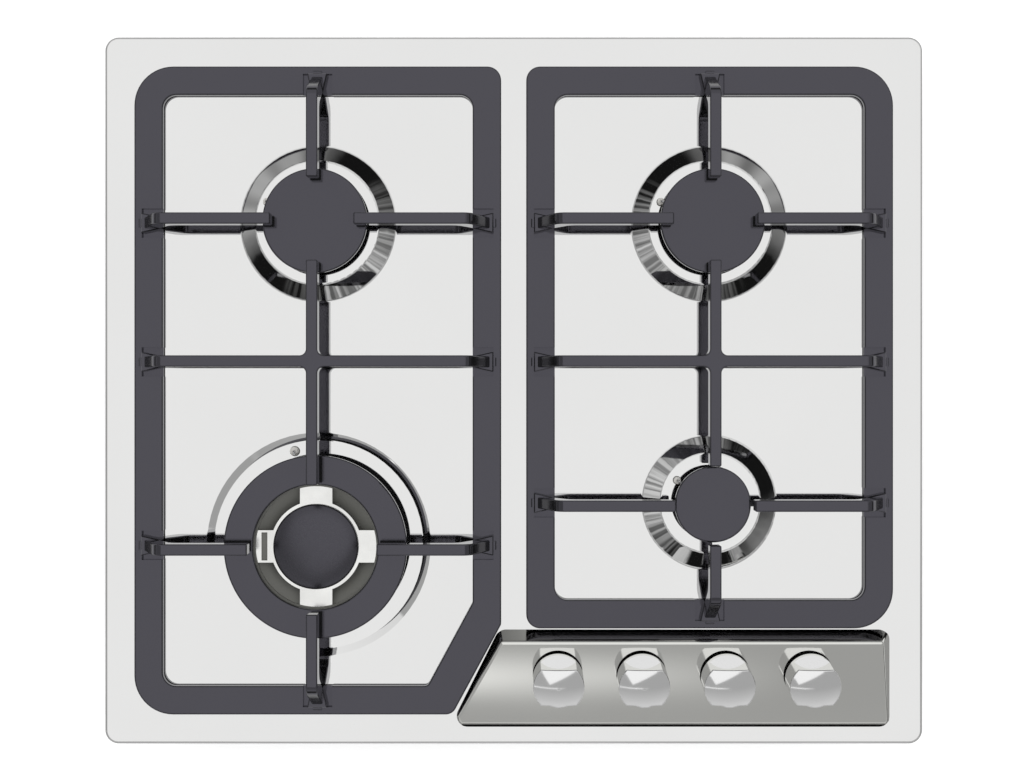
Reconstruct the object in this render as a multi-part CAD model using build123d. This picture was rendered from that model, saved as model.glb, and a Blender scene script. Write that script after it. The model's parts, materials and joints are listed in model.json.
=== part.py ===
from build123d import *
import os
from collections import namedtuple
from math import cos, hypot, radians, sin, tan

# Built-in gas cooktop with four burners, in millimetres.
# X runs to the right, Y to the back and Z up. The origin is the middle of the plate, on the
# worktop's surface. Heights above the plate's top are turned into Z by above_plate().

# ---------------------------------------------------------------- driving dimensions

# Top plate, pressed from sheet
plate_length = 590.0
plate_depth = 510.0
plate_corner_radius = 10.0
plate_height = 6.0
plate_sheet = 1.0
rim_lift = 0.5
rim_fold_radius = 2.0
press_radius = 2.5
press_margin = 6.0

# Foam seal under the rim
seal_width = 10.0
seal_side_gap = 1.0

# Bottom box, and the cut-out that it drops into
cutout_margin = 15.0
cutout_side_gap = 8.0
box_drop = 45.0
box_sheet = 1.0
box_corner_radius = 8.0
box_flange_width = 9.0
pocket_length = 66.0
pocket_depth = 62.0
pocket_floor_drop = 24.0

# Nuts on the studs that join box and plate
stud_radius = 1.5
stud_length = 4.0
stud_hole_gap = 0.3
stud_end_margin = 95.0
stud_side_margin = 65.0
box_nut_across = 5.5
box_nut_thickness = 2.4

# Burner places, from the plate's back and front edges
back_burner_margin = 135.0
ring_burner_margin = 144.0
small_burner_margin = 174.5

# Pressings round the burners
cone_height = 9.0
rapid_cone_radius = 56.0
rapid_plateau_radius = 44.2
small_cone_radius = 48.2
small_plateau_radius = 35.8
recess_depth = 1.6
recess_radius = 80.8
recess_floor_radius = 75.2

# Burner caps, with heights above the plate
rapid_cap_radius = 37.0
rapid_cap_top = 24.0
small_cap_radius = 26.8
small_cap_top = 25.0
ring_cap_radius = 65.0
ring_cap_inner_radius = 44.3
ring_cap_top = 20.0
cap_thickness = 4.0
cap_edge_radius = 1.2
cap_lip_height = 2.5
cap_lip_width = 2.0
dome_cap_radius = 30.2
dome_cap_edge = 3.0
dome_cap_rise = 3.6

# Crowns
crown_inset = 4.0
crown_wall = 4.0
crown_flange_inset = 2.0
crown_flange_thickness = 1.8
crown_spigot_length = 6.0
crown_throat_radius = 9.5
crown_throat_wall = 2.0
crown_throat_length = 12.0
port_width = 1.6
port_height = 3.2
port_rise = 2.0
rapid_ports = 40
small_ports = 28
ring_ports = 64
hub_ports = 28
hub_radius = 32.5
hub_throat_radius = 20.0
spoke_width = 23.0
spoke_thickness = 4.0
spoke_count = 4
hub_top = 14.5
web_inner_drop = 8.2
web_outer_drop = 1.5
web_thickness = 1.8
slot_width = 4.2
slot_length = 20.0
slot_depth = 1.0

# Burner cups under the plate
screw_space = 2.0
rapid_neck_radius = 26.0
small_neck_radius = 17.5
ring_neck_radius = 48.0
neck_wall = 2.5
neck_hole_gap = 0.5
cup_flange_thickness = 3.0
cup_flange_gap = 2.2
cup_bowl_drop = 20.0
ring_bowl_drop = 15.0
cup_floor = 3.0
cup_boss_radius = 9.0
arm_radius = 6.5
arm_bore_radius = 2.5
rapid_arm_reach = 45.0
small_arm_reach = 40.0
ring_arm_reach = 58.0
injector_across = 8.0
injector_height = 9.0
injector_bore_radius = 0.6

# Screws that hold the cups
cup_screw_radius = 2.0
cup_screw_head_radius = 2.9
cup_screw_head_height = 1.3
cup_screw_length = 9.0
cup_screw_count = 2
ring_screw_count = 4
thread_gap = 0.05
screw_hole_gap = 0.4

# Spark electrodes
electrode_radius = 2.5
ring_electrode_radius = 3.2
electrode_rise = 5.0
electrode_drop = 18.0
electrode_hole_gap = 0.5
electrode_collar = 1.4
tip_wire_radius = 0.8
tip_rise = 2.6
tip_reach = 2.6
rapid_electrode_place = 38.5
small_electrode_place = 29.0
ring_electrode_place = 69.4
rapid_electrode_angle = 157.5
small_electrode_angle = 145.6
ring_electrode_angle = 104.4

# Pan supports: flat frames on rubber feet, with margins from the plate's edges
support_back_margin = 22.4
support_side_margin = 22.7
left_front_margin = 22.4
right_front_margin = 84.2
chamfer_side_margin = 87.0
support_inner = 9.0
chamfer_front_x = -44.0
bar_width = 20.5
chamfer_bar_width = 25.5
frame_thickness = 4.5
frame_lift = 1.5
frame_edge_radius = 1.2
outer_corner_radius = 28.0
middle_corner_radius = 10.0
chamfer_front_radius = 8.0
chamfer_side_radius = 4.0
inside_corner_radius = 9.5
notch_length = 21.0
notch_depth = 15.0
notch_floor = 1.5

# Fingers, with heights above the plate
finger_width = 8.0
finger_top = 41.0
finger_depth = 12.0
finger_edge_radius = 1.0
finger_end_radius = 1.2
finger_bend_radius = 8.0
lug_inset = 3.5
lug_height = 2.2
lug_width = 6.0
root_width = 14.0
root_rise = 3.0
root_chamfer = 0.8
root_length = 11.0
root_flare_end = 20.0
neck_foot = 7.0
neck_rise_end = 21.5
neck_under_end = 31.0
neck_join = 45.0
middle_finger_y = 20.5
cross_fillet = 4.5
rapid_tip_radius = 29.0
small_tip_radius = 27.6
ring_tip_radius = 45.0

# Rubber feet
foot_radius = 6.0
foot_stem_radius = 2.5
foot_stem_length = 2.5
foot_end_distance = 30.0

# Knob panel: a sloped, pressed cover, with margins from the plate's edges
panel_back_margin = 82.7
panel_front_margin = 12.6
panel_right_margin = 24.1
panel_left_back = -10.7
panel_left_front = -46.0
panel_tilt = 9.0
panel_front_height = 3.0
panel_sheet = 1.2
panel_corner_radius = 8.0
panel_edge_radius = 2.6
panel_side_lean = 30.0
panel_left_lean = 21.0
panel_front_lean = 45.0

# Knobs, measured along their own axes from the panel's face
knob_count = 4
knob_row_shift = 109.0
knob_pitch = 60.0
knob_front_margin = 50.5
knob_radius = 18.0
knob_height = 26.8
knob_gap = 3.6
knob_base_top = 7.3
knob_flat = 13.0
knob_core_radius = 14.4
knob_edge_radius = 0.8
knob_dome_radius = 75.0
knob_bore_end = 18.0
knob_hollow_radius = 14.0
knob_hollow_depth = 1.5
knob_travel = 3.0

# Spindle, washer, spring and seal
spindle_radius = 3.0
spindle_flat = 2.0
spindle_flat_start = 6.0
spindle_shoulder_radius = 4.6
spindle_shoulder_height = 1.2
spindle_end_drop = 36.0
running_gap = 0.05
washer_radius = 6.4
washer_thickness = 1.2
spring_radius = 5.2
spring_wire_radius = 0.45
spring_turns = 5
spring_length = 8.0
seal_ring_radius = 9.0
seal_ring_thickness = 1.4
panel_hole_radius = 6.0
plate_hole_radius = 9.0

# Valves on the gas rail
valve_top_drop = 14.0
valve_neck_radius = 9.0
valve_neck_length = 12.0
valve_pocket_radius = 6.6
valve_width = 24.0
valve_body_depth = 20.0
valve_body_length = 22.0
saddle_width = 20.0
saddle_height = 24.0
strap_front = 2.5
strap_screw_radius = 1.6
strap_screw_head_radius = 2.6
strap_screw_head_height = 1.4
strap_screw_rise = 9.8
strap_screw_length = 12.0
strap_screw_end_gap = 2.0
outlet_radius = 4.6
outlet_reach = 24.5

# Gas rail and inlet
rail_radius = 7.5
rail_wall = 1.5
rail_setback = 14.5
rail_drop = 11.0
rail_end_reach = 17.0
rail_side_margin = 47.0
rail_bend_radius = 22.0
inlet_back_margin = 49.0
elbow_radius = 10.5
elbow_bore_radius = 6.0
elbow_bend_radius = 12.0
elbow_length = 22.0
elbow_socket_length = 8.0
inlet_thread_radius = 10.48
inlet_end_drop = 42.0
inlet_shank_radius = 12.0
inlet_flange_radius = 16.0
inlet_flange_thickness = 3.0
locknut_across = 30.0
locknut_thickness = 4.0

# Gas tubes
tube_radius = 4.0
tube_wall = 1.0
tube_drop = 27.0
tube_bend_radius = 14.0
tube_nut_across = 13.0
tube_nut_length = 9.0
tube_lane_back_left_y = 20.5
tube_lane_side = 35.0
tube_lane_back = 72.0
tube_lane_turn = 24.0

# Spring clips in the cut-out
clip_width = 20.0
clip_sheet = 1.0
clip_bow = 10.0
clip_bottom_drop = 40.0
clip_flat_drop = 26.0
clip_crest_drop = 14.0
clip_top_drop = 2.0
clip_bend_radii = (6.0, 5.0)
clip_margin = 125.0
box_screw_radius = 1.8
box_screw_head_radius = 3.2
box_screw_head_height = 1.6
box_screw_length = 3.2

# Ignition
generator_length = 64.0
generator_depth = 40.0
generator_height = 22.0
generator_corner_radius = 2.0
generator_back_margin = 79.0
generator_ear = 8.0
generator_ear_thickness = 2.5
lead_radius = 1.3
lead_drop = 39.0
lead_bend_radius = 4.0
lead_lane_gap = 16.0
lead_lane_pitch = 5.0
boot_radius = 2.6
boot_length = 6.0
switch_length = 12.0
switch_depth = 8.0
switch_height = 9.0
switch_corner_radius = 0.6

# Supply gland in the box's back wall
gland_margin = 95.0
gland_drop = 26.0
gland_bore_radius = 4.0
gland_body_radius = 6.5
gland_flange_radius = 9.0
gland_flange_thickness = 2.0
gland_nose_length = 3.0
gland_nut_thickness = 4.0
gland_tail_length = 3.0

# Clearance between a loose piece and its seat, and the smallest length that counts
seat_gap = 0.3
tolerance = 0.01

# ---------------------------------------------------------------- worked-out places

half_length = plate_length / 2
half_depth = plate_depth / 2
plate_top = plate_height
plate_under = plate_height - plate_sheet
cutout_length = plate_length - 2 * cutout_margin
cutout_depth = plate_depth - 2 * cutout_margin
box_length = cutout_length - 2 * cutout_side_gap
box_depth = cutout_depth - 2 * cutout_side_gap
box_floor = box_sheet - box_drop
pocket_floor = -pocket_floor_drop
pocket_x = box_length / 2 - pocket_length
pocket_y = box_depth / 2 - pocket_depth
rail_z = -rail_drop
tube_z = -tube_drop
lead_z = -lead_drop
frame_under = plate_top + frame_lift
frame_top = frame_under + frame_thickness
support_back = half_depth - support_back_margin
support_outer = half_length - support_side_margin
left_support_front = half_depth - left_front_margin
right_support_front = half_depth - right_front_margin
chamfer_side_y = chamfer_side_margin - half_depth
burner_column_x = (support_outer + support_inner) / 2
back_burner_y = half_depth - back_burner_margin
ring_burner_y = ring_burner_margin - half_depth
small_burner_y = small_burner_margin - half_depth
panel_back = half_depth - panel_back_margin
panel_front = half_depth - panel_front_margin
panel_right = half_length - panel_right_margin
first_knob_x = burner_column_x - knob_row_shift
knob_y = knob_front_margin - half_depth
rail_y = knob_y - rail_setback
rail_start_x = first_knob_x - rail_end_reach
rail_side_x = half_length - rail_side_margin
inlet_y = half_depth - inlet_back_margin
outlet_end_y = knob_y + outlet_reach
generator_y = half_depth - generator_back_margin
gland_x = gland_margin - half_length


def above_plate(height):
    """Z of a height that is measured from the plate's top."""
    return plate_top + height


Burner = namedtuple(
    "Burner",
    "name x y rise press_radius seat_radius cap_radius cap_inner cap_top neck_radius "
    "bowl_drop arm_angle arm_reach ports screws tip_radius spark_place spark_angle spark_radius",
)

back_left = Burner(
    "back_left", -burner_column_x, back_burner_y, cone_height, rapid_cone_radius,
    rapid_plateau_radius, rapid_cap_radius, 0.0, rapid_cap_top, rapid_neck_radius,
    cup_bowl_drop, -90.0, rapid_arm_reach, rapid_ports, cup_screw_count, rapid_tip_radius,
    rapid_electrode_place, rapid_electrode_angle, electrode_radius,
)
back_right = back_left._replace(name="back_right", x=burner_column_x)
front_right = Burner(
    "front_right", burner_column_x, small_burner_y, cone_height, small_cone_radius,
    small_plateau_radius, small_cap_radius, 0.0, small_cap_top, small_neck_radius,
    cup_bowl_drop, 0.0, small_arm_reach, small_ports, cup_screw_count, small_tip_radius,
    small_electrode_place, small_electrode_angle, electrode_radius,
)
front_left = Burner(
    "front_left", -burner_column_x, ring_burner_y, -recess_depth, recess_radius,
    recess_floor_radius, ring_cap_radius, ring_cap_inner_radius, ring_cap_top, ring_neck_radius,
    ring_bowl_drop, 0.0, ring_arm_reach, ring_ports, ring_screw_count, ring_tip_radius,
    ring_electrode_place, ring_electrode_angle, ring_electrode_radius,
)
burners = [back_left, back_right, front_right, front_left]


def seat_top(burner):
    """Z of the pressed sheet's top face round a burner."""
    return above_plate(burner.rise)


def neck_top(burner):
    """Z of the cup's neck, which stands proud of the sheet and leaves room for screw heads."""
    return seat_top(burner) + screw_space


def crown_outer(burner):
    """Radius of the crown's port wall, inside the cap's edge."""
    return burner.cap_radius - crown_inset


def crown_flange(burner):
    """Radius of the crown's foot flange."""
    return burner.cap_radius - crown_flange_inset


def cap_under(burner):
    """Z of the cap's flat underside."""
    return above_plate(burner.cap_top) - cap_thickness


def screw_circle(burner):
    """Radius at which the cup's screws stand, between neck and crown edge."""
    return (burner.neck_radius + crown_flange(burner)) / 2


# ---------------------------------------------------------------- shape helpers


def post(radius, low, high):
    """Upright round bar from Z low to Z high, about the Z axis."""
    bar = Cylinder(radius, high - low, align=(Align.CENTER, Align.CENTER, Align.MIN))
    return Pos(0, 0, low) * bar


def tube(outer, inner, low, high):
    """Upright round tube about the Z axis."""
    return post(outer, low, high) - post(inner, low, high)


def block(x_span, y_span, z_span):
    """Box between two values on each axis."""
    sizes = [span[1] - span[0] for span in (x_span, y_span, z_span)]
    return Pos(x_span[0], y_span[0], z_span[0]) * Box(*sizes, align=(Align.MIN,) * 3)


def turned(points):
    """Solid turned about Z from an outline of radius and height."""
    outline = Polyline(*[(radius, 0, height) for radius, height in points], close=True)
    return revolve(make_face(outline), Axis.Z)


def slab(points, radii, low, high):
    """Upright slab over a plan outline with rounded corners."""
    outline = FilletPolyline(*points, radius=radii, close=True)
    return Pos(0, 0, low) * extrude(make_face(outline), high - low)


def hex_bar(across, low, high):
    """Upright hexagonal bar, measured across its flats."""
    plan = RegularPolygon(across / 2, 6, major_radius=False)
    return Pos(0, 0, low) * extrude(plan, high - low)


def along_y(piece):
    """Lay an upright piece down, so that its Z runs along +Y."""
    return Rot(-90, 0, 0) * piece


def along_x(piece):
    """Lay an upright piece down, so that its Z runs along +X."""
    return Rot(0, 90, 0) * piece


def at_angle(degrees):
    """Turn about the Z axis."""
    return Rot(0, 0, degrees)


def pipe(points, bends, radius):
    """Round bar swept along straight runs joined by arcs."""
    path = FilletPolyline(*points, radius=bends) if len(points) > 2 else Line(*points)
    section = Plane(path @ 0, z_dir=path % 0) * Circle(radius)
    return sweep(section, path=path)


def at_burner(burner):
    """Move from the origin to a burner's centre."""
    return Pos(burner.x, burner.y, 0)


def write(name, piece):
    """Write one sub-part."""
    export_step(piece, f"parts/{name}.step")


# ---------------------------------------------------------------- top plate


def plate_blank():
    """Flat sheet with a rim folded down all round."""
    outer = extrude(
        RectangleRounded(plate_length, plate_depth, plate_corner_radius),
        plate_height - rim_lift,
    )
    outer = fillet(outer.faces().sort_by(Axis.Z)[-1].edges(), rim_fold_radius)
    inner_radius = plate_corner_radius - plate_sheet
    inner = extrude(
        RectangleRounded(
            plate_length - 2 * plate_sheet, plate_depth - 2 * plate_sheet, inner_radius
        ),
        plate_under - rim_lift,
    )
    inner = fillet(inner.faces().sort_by(Axis.Z)[-1].edges(), rim_fold_radius - plate_sheet)
    return Pos(0, 0, rim_lift) * (outer - inner)


def pressing(burner):
    """Ring of sheet pressed up into a cone, or down into a recess, with a hole for the neck."""
    hole = burner.neck_radius + neck_hole_gap
    corners = [
        (burner.press_radius + press_margin, plate_top),
        (burner.press_radius, plate_top),
        (burner.seat_radius, seat_top(burner)),
        (hole, seat_top(burner)),
    ]
    top_points = [(radius, 0, height) for radius, height in corners]
    low_points = [(radius, 0, height - plate_sheet) for radius, height in corners]
    top = FilletPolyline(*top_points, radius=press_radius)
    low = FilletPolyline(*low_points, radius=press_radius)
    outline = [
        *top.edges(),
        *low.edges(),
        Line(top_points[0], low_points[0]),
        Line(top_points[-1], low_points[-1]),
    ]
    return revolve(make_face(outline), Axis.Z)


def stud_places():
    """Places of the studs that hold the box, on the flange's middle line."""
    x_line = box_length / 2 + box_flange_width / 2
    y_line = box_depth / 2 + box_flange_width / 2
    far_x = half_length - stud_end_margin
    far_y = half_depth - stud_side_margin
    sides = [(side * x_line, far_y * step) for side in (-1, 1) for step in (-1, 0, 1)]
    ends = [(far_x * step, side * y_line) for side in (-1, 1) for step in (-1, 0, 1)]
    return sides + ends


def spindle_place(index):
    """Turn and move from a knob's own axes to its place on the panel."""
    x = first_knob_x + index * knob_pitch
    return Pos(x, knob_y, panel_face_z(knob_y)) * Rot(panel_tilt, 0, 0)


def panel_face_z(y):
    """Z of the panel's sloped face at a depth."""
    front_edge = -panel_front + panel_front_height * tan(radians(panel_front_lean))
    return above_plate(panel_front_height) + (y - front_edge) * tan(radians(panel_tilt))


def screw_angles(burner):
    """Directions of a cup's screws round its centre."""
    return [45 + step * 360 / burner.screws for step in range(burner.screws)]


def make_top_plate():
    plate = plate_blank()
    for burner in burners:
        opening = post(burner.press_radius + press_margin, rim_lift, plate_top + 1)
        plate = plate - at_burner(burner) * opening + at_burner(burner) * pressing(burner)
    for burner in burners:
        seat = seat_top(burner)
        place = at_burner(burner)
        for angle in screw_angles(burner):
            hole = post(cup_screw_radius + screw_hole_gap, seat - 2 * plate_sheet, seat + 1)
            plate -= place * at_angle(angle) * Pos(screw_circle(burner), 0, 0) * hole
        hole = post(burner.spark_radius + electrode_hole_gap, seat - 2 * plate_sheet, seat + 1)
        plate -= place * at_angle(burner.spark_angle) * Pos(burner.spark_place, 0, 0) * hole
    for index in range(knob_count):
        hole = post(plate_hole_radius, -valve_top_drop, 0)
        plate -= spindle_place(index) * hole
    for x, y in stud_places():
        plate += Pos(x, y, 0) * post(stud_radius, plate_under - stud_length, plate_under)
    return plate


def make_rim_seal():
    outer_inset = plate_sheet + seal_side_gap
    inner_inset = outer_inset + seal_width
    outer = RectangleRounded(
        plate_length - 2 * outer_inset,
        plate_depth - 2 * outer_inset,
        plate_corner_radius - outer_inset,
    )
    inner = Rectangle(plate_length - 2 * inner_inset, plate_depth - 2 * inner_inset)
    return extrude(outer - inner, plate_under)


# ---------------------------------------------------------------- bottom box and clips


def make_bottom_box():
    outer = extrude(
        RectangleRounded(box_length, box_depth, box_corner_radius), plate_under + box_drop
    )
    outer = Pos(0, 0, -box_drop) * outer
    flange = extrude(
        RectangleRounded(
            box_length + 2 * box_flange_width,
            box_depth + 2 * box_flange_width,
            box_corner_radius + box_flange_width,
        ),
        box_sheet,
    )
    far = box_length
    notch = block((pocket_x, far), (pocket_y, far), (-box_drop - 1, pocket_floor - box_sheet))
    cavity = extrude(
        RectangleRounded(
            box_length - 2 * box_sheet, box_depth - 2 * box_sheet, box_corner_radius - box_sheet
        ),
        plate_under - box_floor,
    )
    cavity = Pos(0, 0, box_floor) * cavity
    raised = block(
        (pocket_x - box_sheet, far), (pocket_y - box_sheet, far), (box_floor, pocket_floor)
    )
    shell = outer + Pos(0, 0, plate_under - box_sheet) * flange
    shell = shell - notch - (cavity - raised)
    for x, y in stud_places():
        hole = post(stud_radius + stud_hole_gap, plate_under - 2 * box_sheet, plate_under + 1)
        shell -= Pos(x, y, 0) * hole
    hole = post(inlet_shank_radius + running_gap, pocket_floor - 2 * box_sheet, pocket_floor + 1)
    shell -= Pos(rail_side_x, inlet_y, 0) * hole
    hole = along_y(post(gland_body_radius + running_gap, -2 * box_sheet, box_sheet))
    shell -= Pos(gland_x, box_depth / 2, -gland_drop) * hole
    for side, y in clip_places():
        hole = along_x(post(box_screw_radius + thread_gap, -2 * box_sheet, box_sheet))
        shell -= clip_side(side, y) * Pos(0, 0, clip_screw_z()) * hole
    for x, y in generator_screw_places():
        hole = post(box_screw_radius + thread_gap, -box_drop - 1, box_floor + 1)
        shell -= Pos(x, y, 0) * hole
    return shell


def make_box_nuts():
    nuts = []
    top = plate_under - box_sheet
    for x, y in stud_places():
        nut = hex_bar(box_nut_across, top - box_nut_thickness, top)
        nut -= post(stud_radius + thread_gap, top - stud_length, top + 1)
        nuts.append(Pos(x, y, 0) * nut)
    return Compound(children=nuts)


def clip_places():
    """Side and depth of each spring clip."""
    far_y = half_depth - clip_margin
    return [(side, step * far_y) for side in (-1, 1) for step in (-1, 1)]


def clip_side(side, y):
    """Place on the box's side wall, with X pointing out of the wall."""
    return Pos(side * box_length / 2, y, 0) * Rot(0, 0, 0 if side > 0 else 180)


def clip_screw_z():
    """Height of the screw through a clip's flat foot."""
    return -(clip_bottom_drop + clip_flat_drop) / 2


def spring_clip():
    """Leaf of spring sheet with a flat foot on the wall and a bow that grips the cut-out."""
    reach = clip_bow - clip_sheet
    outer = FilletPolyline(
        (clip_sheet, 0, -clip_bottom_drop),
        (clip_sheet, 0, -clip_flat_drop),
        (clip_bow, 0, -clip_crest_drop),
        (2 * clip_sheet, 0, -clip_top_drop),
        radius=clip_bend_radii,
    )
    inner = FilletPolyline(
        (0, 0, -clip_bottom_drop),
        (0, 0, -clip_flat_drop),
        (reach, 0, -clip_crest_drop),
        (clip_sheet, 0, -clip_top_drop),
        radius=clip_bend_radii,
    )
    outline = [
        *outer.edges(),
        *inner.edges(),
        Line(outer @ 0, inner @ 0),
        Line(outer @ 1, inner @ 1),
    ]
    leaf = extrude(make_face(outline), clip_width / 2, dir=(0, 1, 0), both=True)
    hole = along_x(post(box_screw_radius + thread_gap, -1, clip_bow))
    return leaf - Pos(0, 0, clip_screw_z()) * hole


def make_spring_clips():
    return Compound(children=[clip_side(side, y) * spring_clip() for side, y in clip_places()])


def pan_screw(shank_radius, shank_length, head_radius, head_height):
    """Screw standing on its point, with its head's underside at Z zero."""
    screw = post(shank_radius, -shank_length, 0) + post(head_radius, 0, head_height)
    screw = fillet(screw.faces().sort_by(Axis.Z)[-1].edges(), head_height / 2)
    cross = Box(head_radius, head_height / 3, head_height) + Box(
        head_height / 3, head_radius, head_height
    )
    return screw - Pos(0, 0, head_height) * cross


def make_box_screws():
    """Like screws through the clips' feet and the generator's ears."""
    screw = pan_screw(
        box_screw_radius, box_screw_length, box_screw_head_radius, box_screw_head_height
    )
    screws = [
        clip_side(side, y) * Pos(clip_sheet, 0, clip_screw_z()) * along_x(screw)
        for side, y in clip_places()
    ]
    ear_top = box_floor + generator_ear_thickness
    screws += [Pos(x, y, ear_top) * screw for x, y in generator_screw_places()]
    return Compound(children=screws)


def make_supply_gland():
    """Cord gland in the back wall: flange and nose outside, thread and nut inside."""
    tail = -box_sheet - gland_nut_thickness - gland_tail_length
    gland = post(gland_body_radius, tail, 0)
    gland += post(gland_flange_radius, 0, gland_flange_thickness)
    gland += post(gland_body_radius, 0, gland_flange_thickness + gland_nose_length)
    gland -= post(gland_bore_radius, tail - 1, gland_flange_thickness + gland_nose_length + 1)
    nut = hex_bar(2 * gland_flange_radius, -box_sheet - gland_nut_thickness, -box_sheet)
    nut -= post(gland_body_radius + running_gap, tail, 0)
    place = Pos(gland_x, box_depth / 2, -gland_drop)
    return Compound(children=[place * along_y(gland), place * along_y(nut)])


# ---------------------------------------------------------------- burners


def make_cup(burner):
    """Mixing cup: flange under the sheet, neck through it, bowl, boss and side arm."""
    sheet_under = seat_top(burner) - plate_sheet
    flange_low = sheet_under - cup_flange_thickness
    neck_inner = burner.neck_radius - neck_wall
    bowl_low = -burner.bowl_drop
    flange_radius = burner.seat_radius - cup_flange_gap
    cup = turned(
        [
            (0, bowl_low),
            (neck_inner, bowl_low),
            (burner.neck_radius + cup_floor, flange_low),
            (flange_radius, flange_low),
            (flange_radius, sheet_under),
            (burner.neck_radius, sheet_under),
            (burner.neck_radius, neck_top(burner)),
            (neck_inner, neck_top(burner)),
            (neck_inner, flange_low),
            (neck_inner - neck_wall, bowl_low + cup_floor),
            (0, bowl_low + cup_floor),
        ]
    )
    boss_low = tube_z - arm_radius
    cup += post(cup_boss_radius, boss_low, bowl_low + cup_floor)
    arm = along_x(post(arm_radius, 0, burner.arm_reach))
    arm_bore = along_x(post(arm_bore_radius, 0, burner.arm_reach + 1))
    turn = at_angle(burner.arm_angle) * Pos(0, 0, tube_z)
    cup = cup + turn * arm - turn * arm_bore
    cup -= post(arm_bore_radius, tube_z, bowl_low + cup_floor + 1)
    for angle in screw_angles(burner):
        hole = post(cup_screw_radius + thread_gap, flange_low - cup_screw_length, sheet_under + 1)
        cup -= at_angle(angle) * Pos(screw_circle(burner), 0, 0) * hole
    hole = post(burner.spark_radius + running_gap, flange_low - 1, sheet_under + 1)
    cup -= at_angle(burner.spark_angle) * Pos(burner.spark_place, 0, 0) * hole
    return at_burner(burner) * cup


def make_injectors():
    """Brass nozzle on each cup's floor, over the gas passage."""
    nozzles = []
    for burner in burners:
        foot = cup_floor - burner.bowl_drop
        nozzle = hex_bar(injector_across, foot, foot + injector_height)
        nozzle -= post(injector_bore_radius, foot - 1, foot + injector_height + 1)
        nozzle -= post(arm_bore_radius, foot - 1, foot + injector_height / 2)
        nozzles.append(at_burner(burner) * nozzle)
    return Compound(children=nozzles)


def make_cup_screws():
    screws = []
    for burner in burners:
        for angle in screw_angles(burner):
            screw = pan_screw(
                cup_screw_radius, cup_screw_length, cup_screw_head_radius, cup_screw_head_height
            )
            turn = at_angle(angle) * Pos(screw_circle(burner), 0, seat_top(burner))
            screws.append(at_burner(burner) * turn * screw)
    return Compound(children=screws)


def ports(count, inner, outer, low):
    """Ring of flame ports, as the slots that are cut from a wall."""
    half = port_width / 2
    slot = block((inner - 1, outer + 1), (-half, half), (low, low + port_height))
    return [at_angle(step * 360 / count) * slot for step in range(count)]


def make_crown(burner):
    """Flame spreader: foot flange, port wall, spigot in the neck and throat in the bowl."""
    foot = neck_top(burner) + seat_gap
    deck = foot + crown_flange_thickness
    wall_top = cap_under(burner) - seat_gap
    outer = crown_outer(burner)
    spigot = burner.neck_radius - neck_wall - seat_gap
    crown = tube(crown_flange(burner), crown_throat_radius, foot, deck)
    crown += tube(outer, outer - crown_wall, deck, wall_top)
    crown += tube(spigot, spigot - crown_throat_wall, foot - crown_spigot_length, deck)
    throat_outer = crown_throat_radius + crown_throat_wall
    crown += tube(throat_outer, crown_throat_radius, foot - crown_throat_length, deck)
    low = deck + port_rise
    for slot in ports(burner.ports, outer - crown_wall, outer, low):
        crown -= slot
    return at_burner(burner) * crown


def make_cap(burner):
    """Flat enamelled cap with a rounded edge and a locating lip underneath."""
    top = above_plate(burner.cap_top)
    cap = post(burner.cap_radius, cap_under(burner), top)
    cap = fillet(cap.faces().sort_by(Axis.Z)[-1].edges(), cap_edge_radius)
    lip = crown_outer(burner) - crown_wall - seat_gap
    cap += tube(lip, lip - cap_lip_width, cap_under(burner) - cap_lip_height, cap_under(burner))
    return at_burner(burner) * cap


def ring_inner_wall():
    """Radius of the inside of the ring crown's inner wall."""
    return ring_cap_inner_radius + crown_inset / 4


def make_ring_crown():
    """Crown of the ring burner: double port wall, four spokes, a hub and a sloped web."""
    burner = front_left
    foot = neck_top(burner) + seat_gap
    deck = foot + crown_flange_thickness
    wall_top = cap_under(burner) - seat_gap
    outer = crown_outer(burner)
    inner = ring_inner_wall()
    hub_high = above_plate(hub_top)
    spigot = burner.neck_radius - neck_wall - seat_gap
    crown = tube(crown_flange(burner), inner, foot, deck)
    crown += tube(outer, outer - crown_wall, deck, wall_top)
    crown += tube(inner + crown_throat_wall, inner, deck, wall_top)
    crown += tube(spigot, spigot - crown_throat_wall, foot - crown_spigot_length, hub_high)
    for slot in ports(burner.ports, outer - crown_wall, outer, deck + port_rise):
        crown -= slot
    hub = tube(hub_radius, hub_throat_radius, foot, hub_high)
    reach = (hub_throat_radius + 1, inner + crown_throat_wall)
    half = spoke_width / 2
    spoke = block(reach, (-half, half), (hub_high - spoke_thickness, hub_high))
    for step in range(spoke_count):
        hub += at_angle(step * 360 / spoke_count) * spoke
    hub += turned(
        [
            (hub_radius - 1, hub_high - web_inner_drop),
            (inner + 1, hub_high - web_outer_drop),
            (inner + 1, hub_high - web_outer_drop - web_thickness),
            (hub_radius - 1, hub_high - web_inner_drop - web_thickness),
        ]
    )
    port_low = hub_high - spoke_thickness - port_height - seat_gap
    for slot in ports(hub_ports, hub_throat_radius, hub_radius, port_low):
        hub -= slot
    hub -= post(hub_throat_radius, foot - 1, hub_high + 1)
    slot_middle = (hub_radius + inner) / 2 - slot_width / 2
    groove = block(
        (-slot_middle - slot_width / 2, -slot_middle + slot_width / 2),
        (-slot_length / 2, slot_length / 2),
        (hub_high - slot_depth, hub_high + 1),
    )
    return at_burner(burner) * (crown + hub - groove)


def make_ring_cap():
    """Flat ring over the double port wall, with both edges rounded."""
    burner = front_left
    under = cap_under(burner)
    cap = tube(burner.cap_radius, burner.cap_inner, under, above_plate(burner.cap_top))
    cap = fillet(cap.faces().sort_by(Axis.Z)[-1].edges(), cap_edge_radius)
    lip = crown_outer(burner) - crown_wall - seat_gap
    cap += tube(lip, lip - cap_lip_width, under - cap_lip_height, under)
    return at_burner(burner) * cap


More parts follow.
